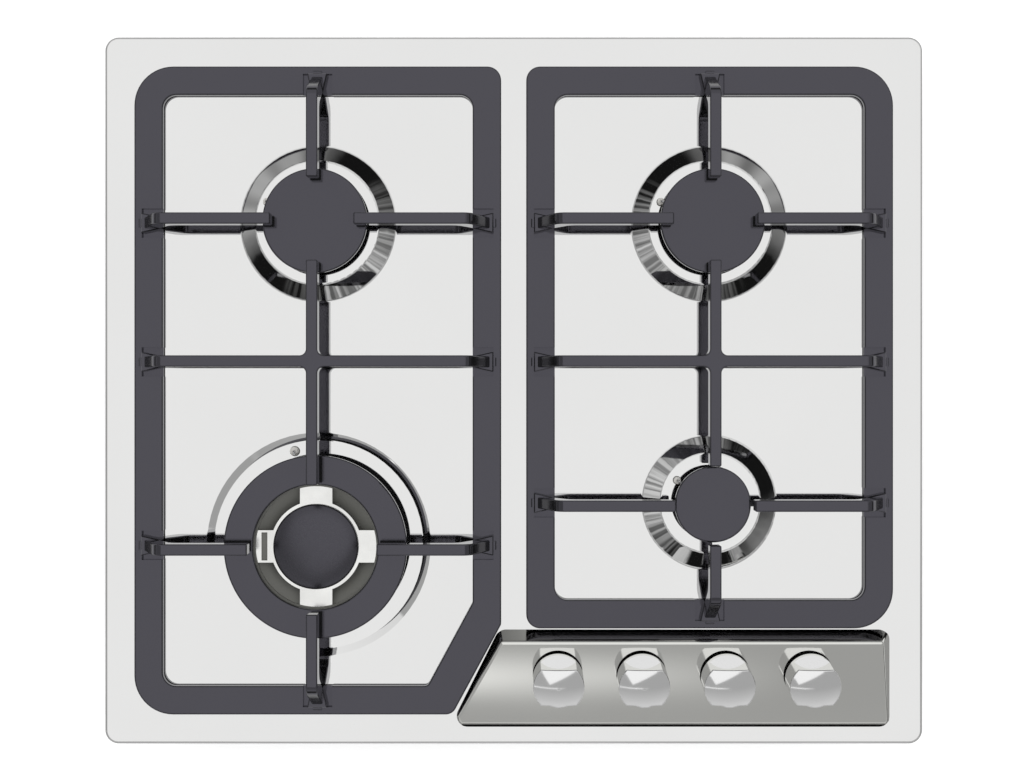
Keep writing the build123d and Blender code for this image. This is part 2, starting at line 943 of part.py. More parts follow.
def make_dome_cap():
    """Small domed cap on the ring burner's hub."""
    under = above_plate(hub_top) + seat_gap
    edge = under + dome_cap_edge
    crest = edge + dome_cap_rise
    lip = hub_throat_radius - seat_gap
    face = make_face(
        [
            Line((0, 0, under), (dome_cap_radius, 0, under)),
            Line((dome_cap_radius, 0, under), (dome_cap_radius, 0, edge)),
            dome_arc(dome_cap_radius, edge, crest),
            Line((0, 0, crest), (0, 0, under)),
        ]
    )
    cap = revolve(face, Axis.Z)
    cap += tube(lip, lip - cap_lip_width, under - cap_lip_height, under)
    return at_burner(front_left) * cap


def dome_arc(radius, edge, crest):
    """Arc of a shallow dome from its rim to its crest."""
    rise = crest - edge
    ball = (radius * radius + rise * rise) / (2 * rise)
    centre = crest - ball
    middle = radius / 2
    height = centre + (ball * ball - middle * middle) ** 0.5
    return ThreePointArc((radius, 0, edge), (middle, 0, height), (0, 0, crest))


def spark_place(burner):
    """Move from the origin to a burner's electrode, with X pointing away from the burner."""
    return at_burner(burner) * at_angle(burner.spark_angle) * Pos(burner.spark_place, 0, 0)


def spark_low(burner):
    """Z of the lower end of a burner's electrode."""
    return seat_top(burner) - electrode_drop


def make_electrodes():
    """Ceramic bodies, each with a collar that hangs it on its cup's flange."""
    bodies = []
    for burner in burners:
        seat = seat_top(burner)
        flange_low = seat - plate_sheet - cup_flange_thickness
        body = post(burner.spark_radius, spark_low(burner), seat + electrode_rise)
        body = fillet(body.faces().sort_by(Axis.Z)[-1].edges(), burner.spark_radius / 3)
        collar = burner.spark_radius + electrode_collar
        body += post(collar, flange_low - 2 * electrode_collar, flange_low)
        body -= post(tip_wire_radius, spark_low(burner) - 1, seat + electrode_rise + 1)
        bodies.append(spark_place(burner) * body)
    return Compound(children=bodies)


def make_electrode_tips():
    """Wire through each ceramic body, bent over towards the burner at its top."""
    wires = []
    for burner in burners:
        low = spark_low(burner) - boot_length / 2
        high = seat_top(burner) + electrode_rise + tip_rise
        wire = pipe(
            [(0, 0, low), (0, 0, high), (-tip_reach, 0, high)], tip_wire_radius * 1.5,
            tip_wire_radius,
        )
        wires.append(spark_place(burner) * wire)
    return Compound(children=wires)


# ---------------------------------------------------------------- pan supports


def left_outline():
    """Corners and radii of the left frame's outer edge, with its cut front corner."""
    points = [
        (-support_outer, -left_support_front),
        (chamfer_front_x, -left_support_front),
        (-support_inner, chamfer_side_y),
        (-support_inner, support_back),
        (-support_outer, support_back),
    ]
    radii = [
        outer_corner_radius,
        chamfer_front_radius,
        chamfer_side_radius,
        middle_corner_radius,
        outer_corner_radius,
    ]
    return points, radii


def left_window():
    """Corners and radii of the left frame's inner edge."""
    front = bar_width - left_support_front
    side = -support_inner - bar_width
    run_x = -support_inner - chamfer_front_x
    run_y = chamfer_side_y + left_support_front
    across_x = -run_y / hypot(run_x, run_y)
    across_y = run_x / hypot(run_x, run_y)
    front_x = chamfer_front_x + (chamfer_bar_width - bar_width * across_y) / across_x
    step_x = side - chamfer_front_x
    side_y = -left_support_front + (chamfer_bar_width - step_x * across_x) / across_y
    points = [
        (bar_width - support_outer, front),
        (front_x, front),
        (side, side_y),
        (side, support_back - bar_width),
        (bar_width - support_outer, support_back - bar_width),
    ]
    radii = [
        inside_corner_radius,
        chamfer_side_radius,
        chamfer_side_radius,
        inside_corner_radius,
        inside_corner_radius,
    ]
    return points, radii


def right_outline():
    """Corners and radii of the right frame's outer edge."""
    points = [
        (support_inner, -right_support_front),
        (support_outer, -right_support_front),
        (support_outer, support_back),
        (support_inner, support_back),
    ]
    radii = [
        middle_corner_radius,
        outer_corner_radius,
        outer_corner_radius,
        middle_corner_radius,
    ]
    return points, radii


def right_window():
    """Corners and radii of the right frame's inner edge."""
    points = [
        (support_inner + bar_width, bar_width - right_support_front),
        (support_outer - bar_width, bar_width - right_support_front),
        (support_outer - bar_width, support_back - bar_width),
        (support_inner + bar_width, support_back - bar_width),
    ]
    return points, [inside_corner_radius] * len(points)


def from_edge(x, y, inward):
    """Place on a frame's outer edge, with X pointing inwards across the bar."""
    return Pos(x, y, 0) * at_angle(inward)


def side_places(burner, near_x, far_x):
    """Places of a burner's two side fingers, each with its distance to the burner's centre."""
    return [
        (from_edge(near_x, burner.y, 0), burner.x - near_x),
        (from_edge(far_x, burner.y, 180), far_x - burner.x),
    ]


def finger_places(back, front, near_x, far_x, front_y):
    """Every single finger of a support: its place, its reach and its tip's radius."""
    fingers = [(from_edge(back.x, support_back, -90), support_back - back.y, back.tip_radius)]
    for burner in (back, front):
        for place, reach in side_places(burner, near_x, far_x):
            fingers.append((place, reach, burner.tip_radius))
    fingers.append((from_edge(front.x, front_y, 90), front.y - front_y, front.tip_radius))
    return fingers


def cross_places(near_x, far_x):
    """Places of the two ends of the middle bar."""
    return [from_edge(near_x, middle_finger_y, 0), from_edge(far_x, middle_finger_y, 180)]


def finger_bar(reach):
    """Neck and bar of a finger, rounded along all its edges, with its tip at X reach."""
    top = above_plate(finger_top)
    under = top - finger_depth
    floor = frame_under + notch_floor
    wall = bar_width - notch_depth
    points = [
        (neck_foot, 0, frame_top),
        (neck_rise_end, 0, top),
        (reach, 0, top),
        (reach, 0, under),
        (neck_under_end, 0, under),
        (wall + root_length, 0, floor),
        (neck_foot, 0, floor),
    ]
    bends = [0, finger_bend_radius, finger_end_radius, finger_end_radius, finger_bend_radius, 0, 0]
    side = make_face(FilletPolyline(*points, radius=bends, close=True))
    bar = extrude(side, finger_width / 2, dir=(0, 1, 0), both=True)
    tops = [edge for edge in bar.edges() if edge.length > reach / 3 and edge.center().Z > under]
    return fillet(tops, finger_edge_radius)


def finger_root():
    """Root block that stands in the frame's pocket, with a lug out over the frame's edge."""
    floor = frame_under + notch_floor
    wall = bar_width - notch_depth
    half = finger_width / 2
    half_root = root_width / 2
    edge = [(wall, half_root), (wall + finger_end_radius, half_root), (root_flare_end, half)]
    plan = Polyline(*edge, *[(x, -y) for x, y in reversed(edge)], close=True)
    root = Pos(0, 0, floor) * extrude(make_face(plan), root_rise + frame_top - floor)
    root = chamfer(root.faces().sort_by(Axis.Z)[-1].edges(), root_chamfer)
    lug_high = frame_top + lug_height
    lug = block(
        (lug_inset, root_flare_end - half), (-lug_width / 2, lug_width / 2), (frame_top, lug_high)
    )
    lug = fillet(lug.faces().sort_by(Axis.Z)[-1].edges().sort_by(Axis.X)[0], lug_height / 2)
    return root + lug


def finger(reach):
    """Whole finger, drawn inwards along X from its frame's outer edge."""
    return finger_bar(reach) + finger_root()


def middle_cross(back, front, near_x, far_x):
    """Full-width middle bar with the bar that runs from burner to burner across it."""
    top = above_plate(finger_top)
    tall = (0, 2 * top)
    wide = (-root_width, root_width)
    stub = finger(2 * neck_join) & block((0, neck_join), wide, tall)
    cross = [place * stub for place in cross_places(near_x, far_x)]
    back_tip = back.y - back.tip_radius
    front_tip = front.y + front.tip_radius
    plan = Pos((near_x + far_x) / 2, middle_finger_y) * Rectangle(far_x - near_x, finger_width)
    plan += Pos(back.x, (back_tip + front_tip) / 2) * Rectangle(finger_width, back_tip - front_tip)
    half = finger_width / 2
    inner = []
    for corner in plan.vertices():
        off_line = abs(abs(corner.Y - middle_finger_y) - half)
        if off_line < tolerance and abs(corner.X - back.x) < finger_width:
            inner.append(corner)
    plan = fillet(inner, cross_fillet)
    bars = Pos(0, 0, top - finger_depth) * extrude(plan, finger_depth)
    uprights = bars.edges().filter_by(Axis.Z).sort_by(Axis.Y)
    bars = fillet(uprights[:2] + uprights[-2:], finger_end_radius)
    bars = fillet(bars.faces().sort_by(Axis.Z)[-1].edges(), finger_edge_radius)
    bars = fillet(bars.faces().sort_by(Axis.Z)[0].edges(), finger_edge_radius)
    bars &= block((near_x + neck_join, far_x - neck_join), (-plate_depth, plate_depth), tall)
    return cross[0] + cross[1] + bars


def frame(outline, window, places):
    """Flat frame with a pocket at each finger's root and a blind hole over each foot."""
    bar = slab(*outline, frame_under, frame_top) - slab(*window, frame_under, frame_top)
    bar = fillet(bar.faces().sort_by(Axis.Z)[-1].edges(), frame_edge_radius)
    pocket = block(
        (bar_width - notch_depth, bar_width + 1),
        (-notch_length / 2, notch_length / 2),
        (frame_under + notch_floor, frame_top + 1),
    )
    for place in places:
        bar -= place * pocket
    return bar


def feet_places(side):
    """Places of one support's feet, with side -1 for the left support and 1 for the right."""
    outer_x = side * (support_outer - bar_width / 2)
    inner_x = side * (support_inner + bar_width / 2)
    back_y = support_back - foot_end_distance
    inner_front = foot_end_distance + (chamfer_side_y if side < 0 else -right_support_front)
    outer_front = foot_end_distance - (left_support_front if side < 0 else right_support_front)
    return [(outer_x, back_y), (inner_x, back_y), (outer_x, outer_front), (inner_x, inner_front)]


def make_feet(side):
    feet = []
    for x, y in feet_places(side):
        foot = post(foot_radius, plate_top + seat_gap, frame_under)
        foot = chamfer(foot.faces().sort_by(Axis.Z)[0].edges(), foot_radius / 8)
        foot += post(foot_stem_radius, frame_under, frame_under + foot_stem_length)
        feet.append(Pos(x, y, 0) * foot)
    return Compound(children=feet)


def make_support(back, front, side, outline, window):
    """Frame and fingers of one pan support."""
    near_x, far_x = sorted((side * support_outer, side * support_inner))
    front_y = -(left_support_front if side < 0 else right_support_front)
    singles = finger_places(back, front, near_x, far_x, front_y)
    places = [place for place, reach, tip in singles] + cross_places(near_x, far_x)
    bar = frame(outline, window, places)
    stem_end = frame_under + foot_stem_length + seat_gap
    for x, y in feet_places(side):
        hole = post(foot_stem_radius + running_gap, frame_under - 1, stem_end)
        bar -= Pos(x, y, 0) * hole
    fingers = [place * finger(reach - tip) for place, reach, tip in singles]
    fingers.append(middle_cross(back, front, near_x, far_x))
    return bar, Compound(children=fingers)


# ---------------------------------------------------------------- knob panel and knobs


def panel_block(inset):
    """Sloped block of the panel, drawn in by a wall's thickness on every face but the foot."""
    left_run = hypot(panel_left_front - panel_left_back, panel_front - panel_back)
    left_shift = inset * left_run / (panel_front - panel_back)
    points = [
        (panel_left_front + left_shift, inset - panel_front),
        (panel_right - inset, inset - panel_front),
        (panel_right - inset, -panel_back - inset),
        (panel_left_back + left_shift, -panel_back - inset),
    ]
    radii = panel_corner_radius - inset
    body = slab(points, radii, plate_top, above_plate(panel_front - panel_back))
    face = above_plate(panel_front_height) - inset / cos(radians(panel_tilt))
    hinge = -panel_front + panel_front_height * tan(radians(panel_front_lean))
    far = plate_length
    whole = (-far, far)
    body -= Pos(0, hinge, face) * Rot(panel_tilt, 0, 0) * block(whole, whole, (0, far))
    back = Pos(0, -panel_back - inset, plate_top) * Rot(panel_side_lean, 0, 0)
    body -= back * block(whole, (0, far), whole)
    front = Pos(0, inset - panel_front, plate_top) * Rot(-panel_front_lean, 0, 0)
    body -= front * block(whole, (-far, 0), whole)
    right = Pos(panel_right - inset, 0, plate_top) * Rot(0, -panel_side_lean, 0)
    body -= right * block((0, far), whole, whole)
    angle = Vector(panel_left_front - panel_left_back, panel_back - panel_front).get_angle(
        Vector(0, -1)
    )
    left = Pos(panel_left_front + left_shift, inset - panel_front, plate_top) * at_angle(-angle)
    body -= left * Rot(0, panel_left_lean, 0) * block((-far, 0), whole, whole)
    return body


def rounded_panel(inset):
    """Panel's block with its upper edges rounded."""
    body = panel_block(inset)
    upper = [edge for edge in body.edges() if edge.bounding_box().min.Z > plate_top + 1]
    return fillet(upper, panel_edge_radius - inset)


def make_knob_panel():
    panel = rounded_panel(0) - rounded_panel(panel_sheet)
    for index in range(knob_count):
        hole = post(panel_hole_radius, -2 * panel_sheet - 1, 1)
        panel -= spindle_place(index) * hole
    return panel


def make_knob(index):
    """Round hollow base, domed grip with two flats, and a core that bulges out of the front one."""
    knob = post(knob_radius, knob_gap, knob_height)
    grip_cut = (-2 * knob_radius, 2 * knob_radius)
    cut_height = (knob_base_top, knob_height + 1)
    knob -= block(grip_cut, (knob_flat, 2 * knob_radius), cut_height)
    knob -= block(grip_cut, (-2 * knob_radius, -knob_flat), cut_height)
    core_front = block(grip_cut, (-2 * knob_radius, 0), (knob_gap, knob_height))
    knob += post(knob_core_radius, knob_gap, knob_height) & core_front
    knob &= Pos(0, 0, knob_height - knob_dome_radius) * Sphere(knob_dome_radius)
    knob = fillet(knob.faces().sort_by(Axis.Z)[-1].edges(), knob_edge_radius)
    knob -= post(knob_hollow_radius, knob_gap - 1, knob_gap + knob_hollow_depth)
    knob -= spindle_bar(running_gap, knob_gap - 1, knob_bore_end + running_gap)
    return spindle_place(index) * knob


def spindle_bar(gap, low, high):
    """Round bar with a flat on its upper length, grown by a gap."""
    bar = post(spindle_radius + gap, low, high)
    flat = block(
        (-2 * spindle_radius, 2 * spindle_radius),
        (spindle_flat + gap, 2 * spindle_radius),
        (spindle_flat_start + gap, high + 1),
    )
    return bar - flat


def washer_top():
    """Height of the spring washer's top on the spindle's axis."""
    return -valve_top_drop - washer_thickness


def make_spindle(index):
    spindle = spindle_bar(0, -spindle_end_drop, knob_bore_end)
    low = washer_top() + running_gap
    spindle += post(spindle_shoulder_radius, low, low + spindle_shoulder_height)
    return spindle_place(index) * spindle


def make_washer(index):
    top = washer_top()
    washer = tube(washer_radius, spindle_radius + running_gap, top - washer_thickness, top)
    return spindle_place(index) * washer


def make_return_spring(index):
    """Coil round the spindle, between the valve's pocket floor and the washer."""
    high = washer_top() - washer_thickness - seat_gap - spring_wire_radius
    low = high - spring_length
    coil = Helix(spring_length / spring_turns, spring_length, spring_radius)
    section = Plane(coil @ 0, z_dir=coil % 0) * Circle(spring_wire_radius)
    wire = sweep(section, path=coil)
    return spindle_place(index) * Pos(0, 0, low) * wire


def make_knob_seals():
    rings = []
    for index in range(knob_count):
        ring = tube(seal_ring_radius, spindle_radius + seat_gap, 0, seal_ring_thickness)
        rings.append(spindle_place(index) * ring)
    return Compound(children=rings)


# ---------------------------------------------------------------- valves, rail and tubes


def valve_pocket_floor():
    """Height of the floor that the return spring stands on."""
    high = washer_top() - washer_thickness - seat_gap
    return high - spring_length - 2 * spring_wire_radius - seat_gap


def valve(index):
    """Valve on the rail: pocket for the spring, plug body, saddle and outlet."""
    x = first_knob_x + index * knob_pitch
    neck_low = -valve_top_drop - valve_neck_length
    body = post(valve_neck_radius, neck_low, -valve_top_drop)
    body += block(
        (-valve_width / 2, valve_width / 2),
        (-valve_body_depth / 2, valve_body_depth / 2),
        (neck_low - valve_body_length, neck_low),
    )
    pocket_low = valve_pocket_floor()
    cock = spindle_place(index) * body
    cock += block(
        (x - saddle_width / 2, x + saddle_width / 2),
        (rail_y, knob_y),
        (rail_z - saddle_height / 2, rail_z + saddle_height / 2),
    )
    rail_bore = along_x(post(rail_radius + running_gap, -valve_width, valve_width))
    cock -= Pos(x, rail_y, rail_z) * rail_bore
    outlet = along_y(post(outlet_radius, 0, outlet_end_y - knob_y))
    outlet_bore = along_y(post(arm_bore_radius, 0, outlet_end_y - knob_y + 1))
    cock += Pos(x, knob_y, tube_z) * outlet
    bores = post(valve_pocket_radius, pocket_low, 0)
    bores += post(spindle_radius + running_gap, -spindle_end_drop - knob_travel - seat_gap, 0)
    cock -= spindle_place(index) * bores
    cock -= Pos(x, (knob_y + outlet_end_y) / 2, tube_z) * outlet_bore
    for side in (-1, 1):
        hole = along_y(post(strap_screw_radius + thread_gap, -1, strap_screw_length))
        cock -= Pos(x, rail_y, rail_z + side * strap_screw_rise) * hole
    return cock


def make_gas_valves():
    return Compound(children=[valve(index) for index in range(knob_count)])


def make_valve_straps():
    """Front halves of the clamps that hold the valves on the rail."""
    straps = []
    for index in range(knob_count):
        x = first_knob_x + index * knob_pitch
        strap = block(
            (x - saddle_width / 2, x + saddle_width / 2),
            (rail_y - rail_radius - strap_front, rail_y - seat_gap),
            (rail_z - saddle_height / 2, rail_z + saddle_height / 2),
        )
        bore = along_x(post(rail_radius + running_gap, -valve_width, valve_width))
        strap -= Pos(x, rail_y, rail_z) * bore
        for side in (-1, 1):
            hole = along_y(post(strap_screw_radius + thread_gap, -strap_screw_length, 1))
            strap -= Pos(x, rail_y, rail_z + side * strap_screw_rise) * hole
        straps.append(strap)
    return Compound(children=straps)


def make_strap_screws():
    screws = []
    depth = rail_radius + strap_front
    head_y = rail_y - depth
    length = strap_screw_length + depth - strap_screw_end_gap
    for index in range(knob_count):
        x = first_knob_x + index * knob_pitch
        for side in (-1, 1):
            screw = pan_screw(
                strap_screw_radius, length, strap_screw_head_radius, strap_screw_head_height
            )
            place = Pos(x, head_y, rail_z + side * strap_screw_rise) * Rot(90, 0, 0)
            screws.append(place * screw)
    return Compound(children=screws)


def make_gas_rail():
    """Pipe along the front and up the right side, closed at its left end."""
    points = [
        (rail_start_x, rail_y, rail_z),
        (rail_side_x, rail_y, rail_z),
        (rail_side_x, inlet_y - elbow_length + elbow_socket_length, rail_z),
    ]
    rail = pipe(points, rail_bend_radius, rail_radius)
    rail -= pipe(points, rail_bend_radius, rail_radius - rail_wall)
    plug = along_x(post(rail_radius, 0, 2 * rail_wall))
    return rail + Pos(rail_start_x, rail_y, rail_z) * plug


def make_inlet_elbow():
    """Elbow from the rail's end down to a male pipe thread, with a locknut round its shank."""
    nut_top = pocket_floor - box_sheet
    nut_low = nut_top - locknut_thickness
    path = [(0, -elbow_length, rail_z), (0, 0, rail_z), (0, 0, pocket_floor)]
    elbow = pipe(path, elbow_bend_radius, elbow_radius)
    elbow += post(inlet_flange_radius, pocket_floor, pocket_floor + inlet_flange_thickness)
    elbow += post(inlet_shank_radius, nut_low, pocket_floor)
    elbow += post(inlet_thread_radius, -inlet_end_drop, nut_low)
    elbow -= pipe(path, elbow_bend_radius, elbow_bore_radius)
    elbow -= post(elbow_bore_radius, -inlet_end_drop - 1, pocket_floor)
    socket = along_y(post(rail_radius + running_gap, -1, elbow_socket_length))
    elbow -= Pos(0, -elbow_length, rail_z) * socket
    nut = hex_bar(locknut_across, nut_low, nut_top)
    nut -= post(inlet_shank_radius + running_gap, nut_low - 1, nut_top + 1)
    place = Pos(rail_side_x, inlet_y, 0)
    return Compound(children=[place * elbow, place * nut])


def arm_end(burner):
    """Point in the face of a cup's arm, where its tube starts."""
    turn = radians(burner.arm_angle)
    reach = burner.arm_reach
    return (burner.x + reach * cos(turn), burner.y + reach * sin(turn), tube_z)


def gas_tube(points, first_turn, last_turn):
    """Tube with a nut at each end, its nuts turned to the first and last runs."""
    run = pipe(points, tube_bend_radius, tube_radius)
    for point, turn in ((points[0], first_turn), (points[-1], last_turn)):
        nut = along_x(hex_bar(tube_nut_across, 0, tube_nut_length))
        run += Pos(*point) * at_angle(turn) * nut
    bore = pipe(points, tube_bend_radius, tube_radius - tube_wall)
    return run - bore


def tube_points():
    """Centre line of each gas tube, from its valve's outlet to its cup's arm."""
    outlets = [
        (first_knob_x + index * knob_pitch, outlet_end_y, tube_z) for index in range(knob_count)
    ]
    ring_end = arm_end(front_left)
    left_end = arm_end(back_left)
    right_end = arm_end(back_right)
    small_end = arm_end(front_right)
    lane_x = burner_column_x - tube_lane_side
    lane_y = back_burner_y - tube_lane_back
    turn_y = outlet_end_y + tube_lane_turn
    return {
        "front_left": [outlets[0], (outlets[0][0], ring_end[1], tube_z), ring_end],
        "back_left": [
            outlets[1],
            (outlets[1][0], tube_lane_back_left_y, tube_z),
            (left_end[0], tube_lane_back_left_y, tube_z),
            left_end,
        ],
        "back_right": [
            outlets[2],
            (outlets[2][0], turn_y, tube_z),
            (lane_x, turn_y, tube_z),
            (lane_x, lane_y, tube_z),
            (right_end[0], lane_y, tube_z),
            right_end,
        ],
        "front_right": [outlets[3], (outlets[3][0], small_end[1], tube_z), small_end],
    }


def make_gas_tubes():
    last_turns = {"front_left": 0, "back_left": -90, "back_right": -90, "front_right": 0}
    return {
        name: gas_tube(points, 90, last_turns[name]) for name, points in tube_points().items()
    }


# ---------------------------------------------------------------- ignition


def generator_screw_places():
    """Places of the two screws through the generator's ears."""
    x = (generator_length + generator_ear) / 2
    return [(side * x, generator_y) for side in (-1, 1)]


def make_ignition_generator():
    """Potted block on the box's floor, with an ear at each end and sockets on its front."""
    body = block(
        (-generator_length / 2, generator_length / 2),
        (generator_y - generator_depth / 2, generator_y + generator_depth / 2),
        (box_floor, box_floor + generator_height),
    )
    body = fillet(body.edges().filter_by(Axis.Z), generator_corner_radius)
    ear_reach = generator_length / 2 + generator_ear
    body += block(
        (-ear_reach, ear_reach),
        (generator_y - generator_ear, generator_y + generator_ear),
        (box_floor, box_floor + generator_ear_thickness),
    )
    for x, y in generator_screw_places():
        hole = post(box_screw_radius + thread_gap, box_floor - 1, 0)
        body -= Pos(x, y, 0) * hole
    return body


def lead_start(burner):
    """Point under a burner's electrode, where its lead's boot ends."""
    turn = radians(burner.spark_angle)
    x = burner.x + burner.spark_place * cos(turn)
    y = burner.y + burner.spark_place * sin(turn)
    return (x, y, spark_low(burner) - boot_length)


def make_ignition_leads():
    """Lead from each electrode down to the floor's level and over to the generator."""
    leads = []
    front = generator_y - generator_depth / 2
    pitch = generator_length / (len(burners) + 1)
    order = sorted(burners, key=lambda burner: (burner.x, burner.y))
    for number, burner in enumerate(order):
        x, y, z = lead_start(burner)
        end_x = (number + 1) * pitch - generator_length / 2
        lane_y = front - lead_lane_gap - lead_lane_pitch * abs(number - (len(order) - 1) / 2)
        points = [(x, y, z), (x, y, lead_z), (x + (end_x - x) / 4, lane_y, lead_z)]
        points += [(end_x, lane_y, lead_z), (end_x, front, lead_z)]
        lead = pipe(points, lead_bend_radius, lead_radius)
        boot = Pos(x, y, 0) * tube(
            boot_radius, tip_wire_radius + running_gap, z + boot_length / 3, z + boot_length
        )
        boot += Pos(x, y, 0) * post(boot_radius, z, z + boot_length / 3)
        leads.append(lead + boot)
    return Compound(children=leads)


def make_ignition_switches():
    """Small switch on the right side of each valve, worked when the knob is pressed."""
    switches = []
    high = -valve_top_drop - valve_neck_length
    side = valve_width / 2
    for index in range(knob_count):
        switch = block(
            (side, side + switch_depth),
            (-switch_length / 2, switch_length / 2),
            (high - switch_height, high),
        )
        switch = fillet(switch.edges().filter_by(Axis.Z), switch_corner_radius)
        switches.append(spindle_place(index) * switch)
    return Compound(children=switches)


# ---------------------------------------------------------------- write every sub-part

os.makedirs("parts", exist_ok=True)

write("top_plate", make_top_plate())
write("rim_seal", make_rim_seal())
write("bottom_box", make_bottom_box())
write("box_nuts", make_box_nuts())
write("spring_clips", make_spring_clips())
write("box_screws", make_box_screws())
write("supply_gland", make_supply_gland())

for burner in burners:
    write(f"burner_cup_{burner.name}", make_cup(burner))
for burner in (back_left, back_right, front_right):
    write(f"crown_{burner.name}", make_crown(burner))
    write(f"cap_{burner.name}", make_cap(burner))
write("crown_front_left", make_ring_crown())
write("ring_cap_front_left", make_ring_cap())
write("dome_cap_front_left", make_dome_cap())
write("injectors", make_injectors())
write("cup_screws", make_cup_screws())
write("spark_electrodes", make_electrodes())
write("electrode_tips", make_electrode_tips())

left_frame, left_fingers = make_support(back_left, front_left, -1, left_outline(), left_window())
right_frame, right_fingers = make_support(
    back_right, front_right, 1, right_outline(), right_window()
)
write("left_support_frame", left_frame)
write("left_support_fingers", left_fingers)
write("left_support_feet", make_feet(-1))
write("right_support_frame", right_frame)
write("right_support_fingers", right_fingers)
write("right_support_feet", make_feet(1))

write("knob_panel", make_knob_panel())
write("knob_seals", make_knob_seals())
for index in range(knob_count):
    number = index + 1
    write(f"knob_{number}", make_knob(index))
    write(f"spindle_{number}", make_spindle(index))
    write(f"spring_washer_{number}", make_washer(index))
    write(f"return_spring_{number}", make_return_spring(index))
write("gas_valves", make_gas_valves())
write("valve_straps", make_valve_straps())
write("strap_screws", make_strap_screws())
write("gas_rail", make_gas_rail())
write("inlet_elbow", make_inlet_elbow())
for name, piece in make_gas_tubes().items():
    write(f"gas_tube_{name}", piece)

write("ignition_generator", make_ignition_generator())
write("ignition_leads", make_ignition_leads())
write("ignition_switches", make_ignition_switches())
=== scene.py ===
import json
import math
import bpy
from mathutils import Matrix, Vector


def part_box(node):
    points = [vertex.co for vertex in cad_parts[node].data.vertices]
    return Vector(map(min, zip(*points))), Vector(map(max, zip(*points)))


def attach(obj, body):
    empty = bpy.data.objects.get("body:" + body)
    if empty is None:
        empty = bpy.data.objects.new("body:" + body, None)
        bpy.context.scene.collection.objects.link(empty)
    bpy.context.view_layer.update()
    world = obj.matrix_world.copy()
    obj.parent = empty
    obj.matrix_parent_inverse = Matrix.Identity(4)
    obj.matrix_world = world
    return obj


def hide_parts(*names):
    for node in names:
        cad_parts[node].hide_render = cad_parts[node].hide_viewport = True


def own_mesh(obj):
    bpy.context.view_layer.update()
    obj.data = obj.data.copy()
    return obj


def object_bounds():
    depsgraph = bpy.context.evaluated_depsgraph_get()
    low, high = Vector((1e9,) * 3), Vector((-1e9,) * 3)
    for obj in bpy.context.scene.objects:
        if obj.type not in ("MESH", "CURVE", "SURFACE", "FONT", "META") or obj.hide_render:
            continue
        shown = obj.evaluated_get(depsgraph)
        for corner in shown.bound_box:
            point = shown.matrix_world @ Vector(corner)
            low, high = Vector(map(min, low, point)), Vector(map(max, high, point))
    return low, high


bl_info = {
    "name": "Gas cooktop dresser",
    "version": (1, 0, 0),
    "blender": (4, 5, 0),
    "location": "3D View > Sidebar > Cooktop",
    "description": "Dresses the gas cooktop's CAD frame with finishes and a studio stage",
    "category": "Object",
}

import bmesh
import bpy
from bpy.props import FloatProperty, FloatVectorProperty, PointerProperty
from mathutils import Vector

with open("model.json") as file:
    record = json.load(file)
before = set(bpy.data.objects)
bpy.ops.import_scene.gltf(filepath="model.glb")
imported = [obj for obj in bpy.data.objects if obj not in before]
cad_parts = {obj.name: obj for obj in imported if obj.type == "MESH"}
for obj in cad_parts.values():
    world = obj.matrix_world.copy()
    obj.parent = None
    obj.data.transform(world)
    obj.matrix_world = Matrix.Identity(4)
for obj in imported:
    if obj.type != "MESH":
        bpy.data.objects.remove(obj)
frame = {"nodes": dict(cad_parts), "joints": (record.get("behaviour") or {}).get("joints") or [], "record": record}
CAD_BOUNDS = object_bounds()
PUSH_JOINTS = [joint for joint in frame["joints"] if joint["name"].endswith("_push")]


# ---------------------------------------------------------------- fixed values


MM = 0.001

# Heights above the plate's lowest point
PLATE_RISE = 5.5 * MM
CROWN_RISE = 20.0 * MM
PLATE_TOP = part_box("top_plate")[0].z + PLATE_RISE
CROWN_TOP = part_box("top_plate")[0].z + CROWN_RISE

# Polished sheet: noise scales per metre with their detail, and the range of its tint
DRAWN_NOISE = (900, 2)
DRAWN_STRETCH = (0.02, 1, 1)
WIPE_NOISE = (9, 4)
WIPE_TINT = (0.985, 1.0)

# Glossy enamel
SPECKLE_NOISE = (2600, 3)
SPECKLE_HEIGHT = 0.35
PEEL_NOISE = (420, 2)
PEEL_GLOSS = (0.92, 1.08)
ENAMEL_IOR = 1.8
ENAMEL_TINT = (0.87, 0.845, 1.0)
DOME_ROUGHNESS = 0.28

# Cast and moulded surfaces
GRAIN_DETAIL = 4
BLOTCH_NOISE = (45, 3)
BLOTCH_TINT = (0.88, 1.06)
BLOTCH_GLOSS = (0.85, 1.15)
CROWN_ROUGHNESS = 0.16

# Dull coat of the ring burner's crown, which leaves its machined top bare; past the reach the coat also covers the
# top's rim, as painted shade where the gap to the ring cap is dark
RIM_SHADE_REACH = 42.8 * MM
COAT_AND_RIM_SHADE = (0.17, 0.17, 0.155)
COAT_ROUGHNESS = 0.5
COAT_EDGE = 0.2 * MM

BUMP_DEPTH = 0.1 * MM

# Sockets of the Mix node that share their names: numbers, and colours
MIX_FACTOR = 0
MIX_NUMBERS = (2, 3)
MIX_COLOURS = (6, 7)
MIX_COLOUR_RESULT = 2

# Camera: the photograph's pixels, and the pixel of the plate's middle
PHOTO_SIZE = (1024, 768)
PHOTO_CENTRE = (513.7, 390.5)
SENSOR_WIDTH = 36.0
CAMERA_CLIP = (0.01, 50.0)

# Mirrored sky, by the direction's Z, or by X and Y over Z: the white panel overhead
LOW_SKY_TOP = (0.42, 0.6)
PANEL_CORNER = (-0.155, -0.464)
PANEL_SLOPES = (0.525, -1.735)
PANEL_SOFTNESS = 0.03
PANEL_MIDDLE = (0.42, 0.65)
PANEL_RIM = 0.78

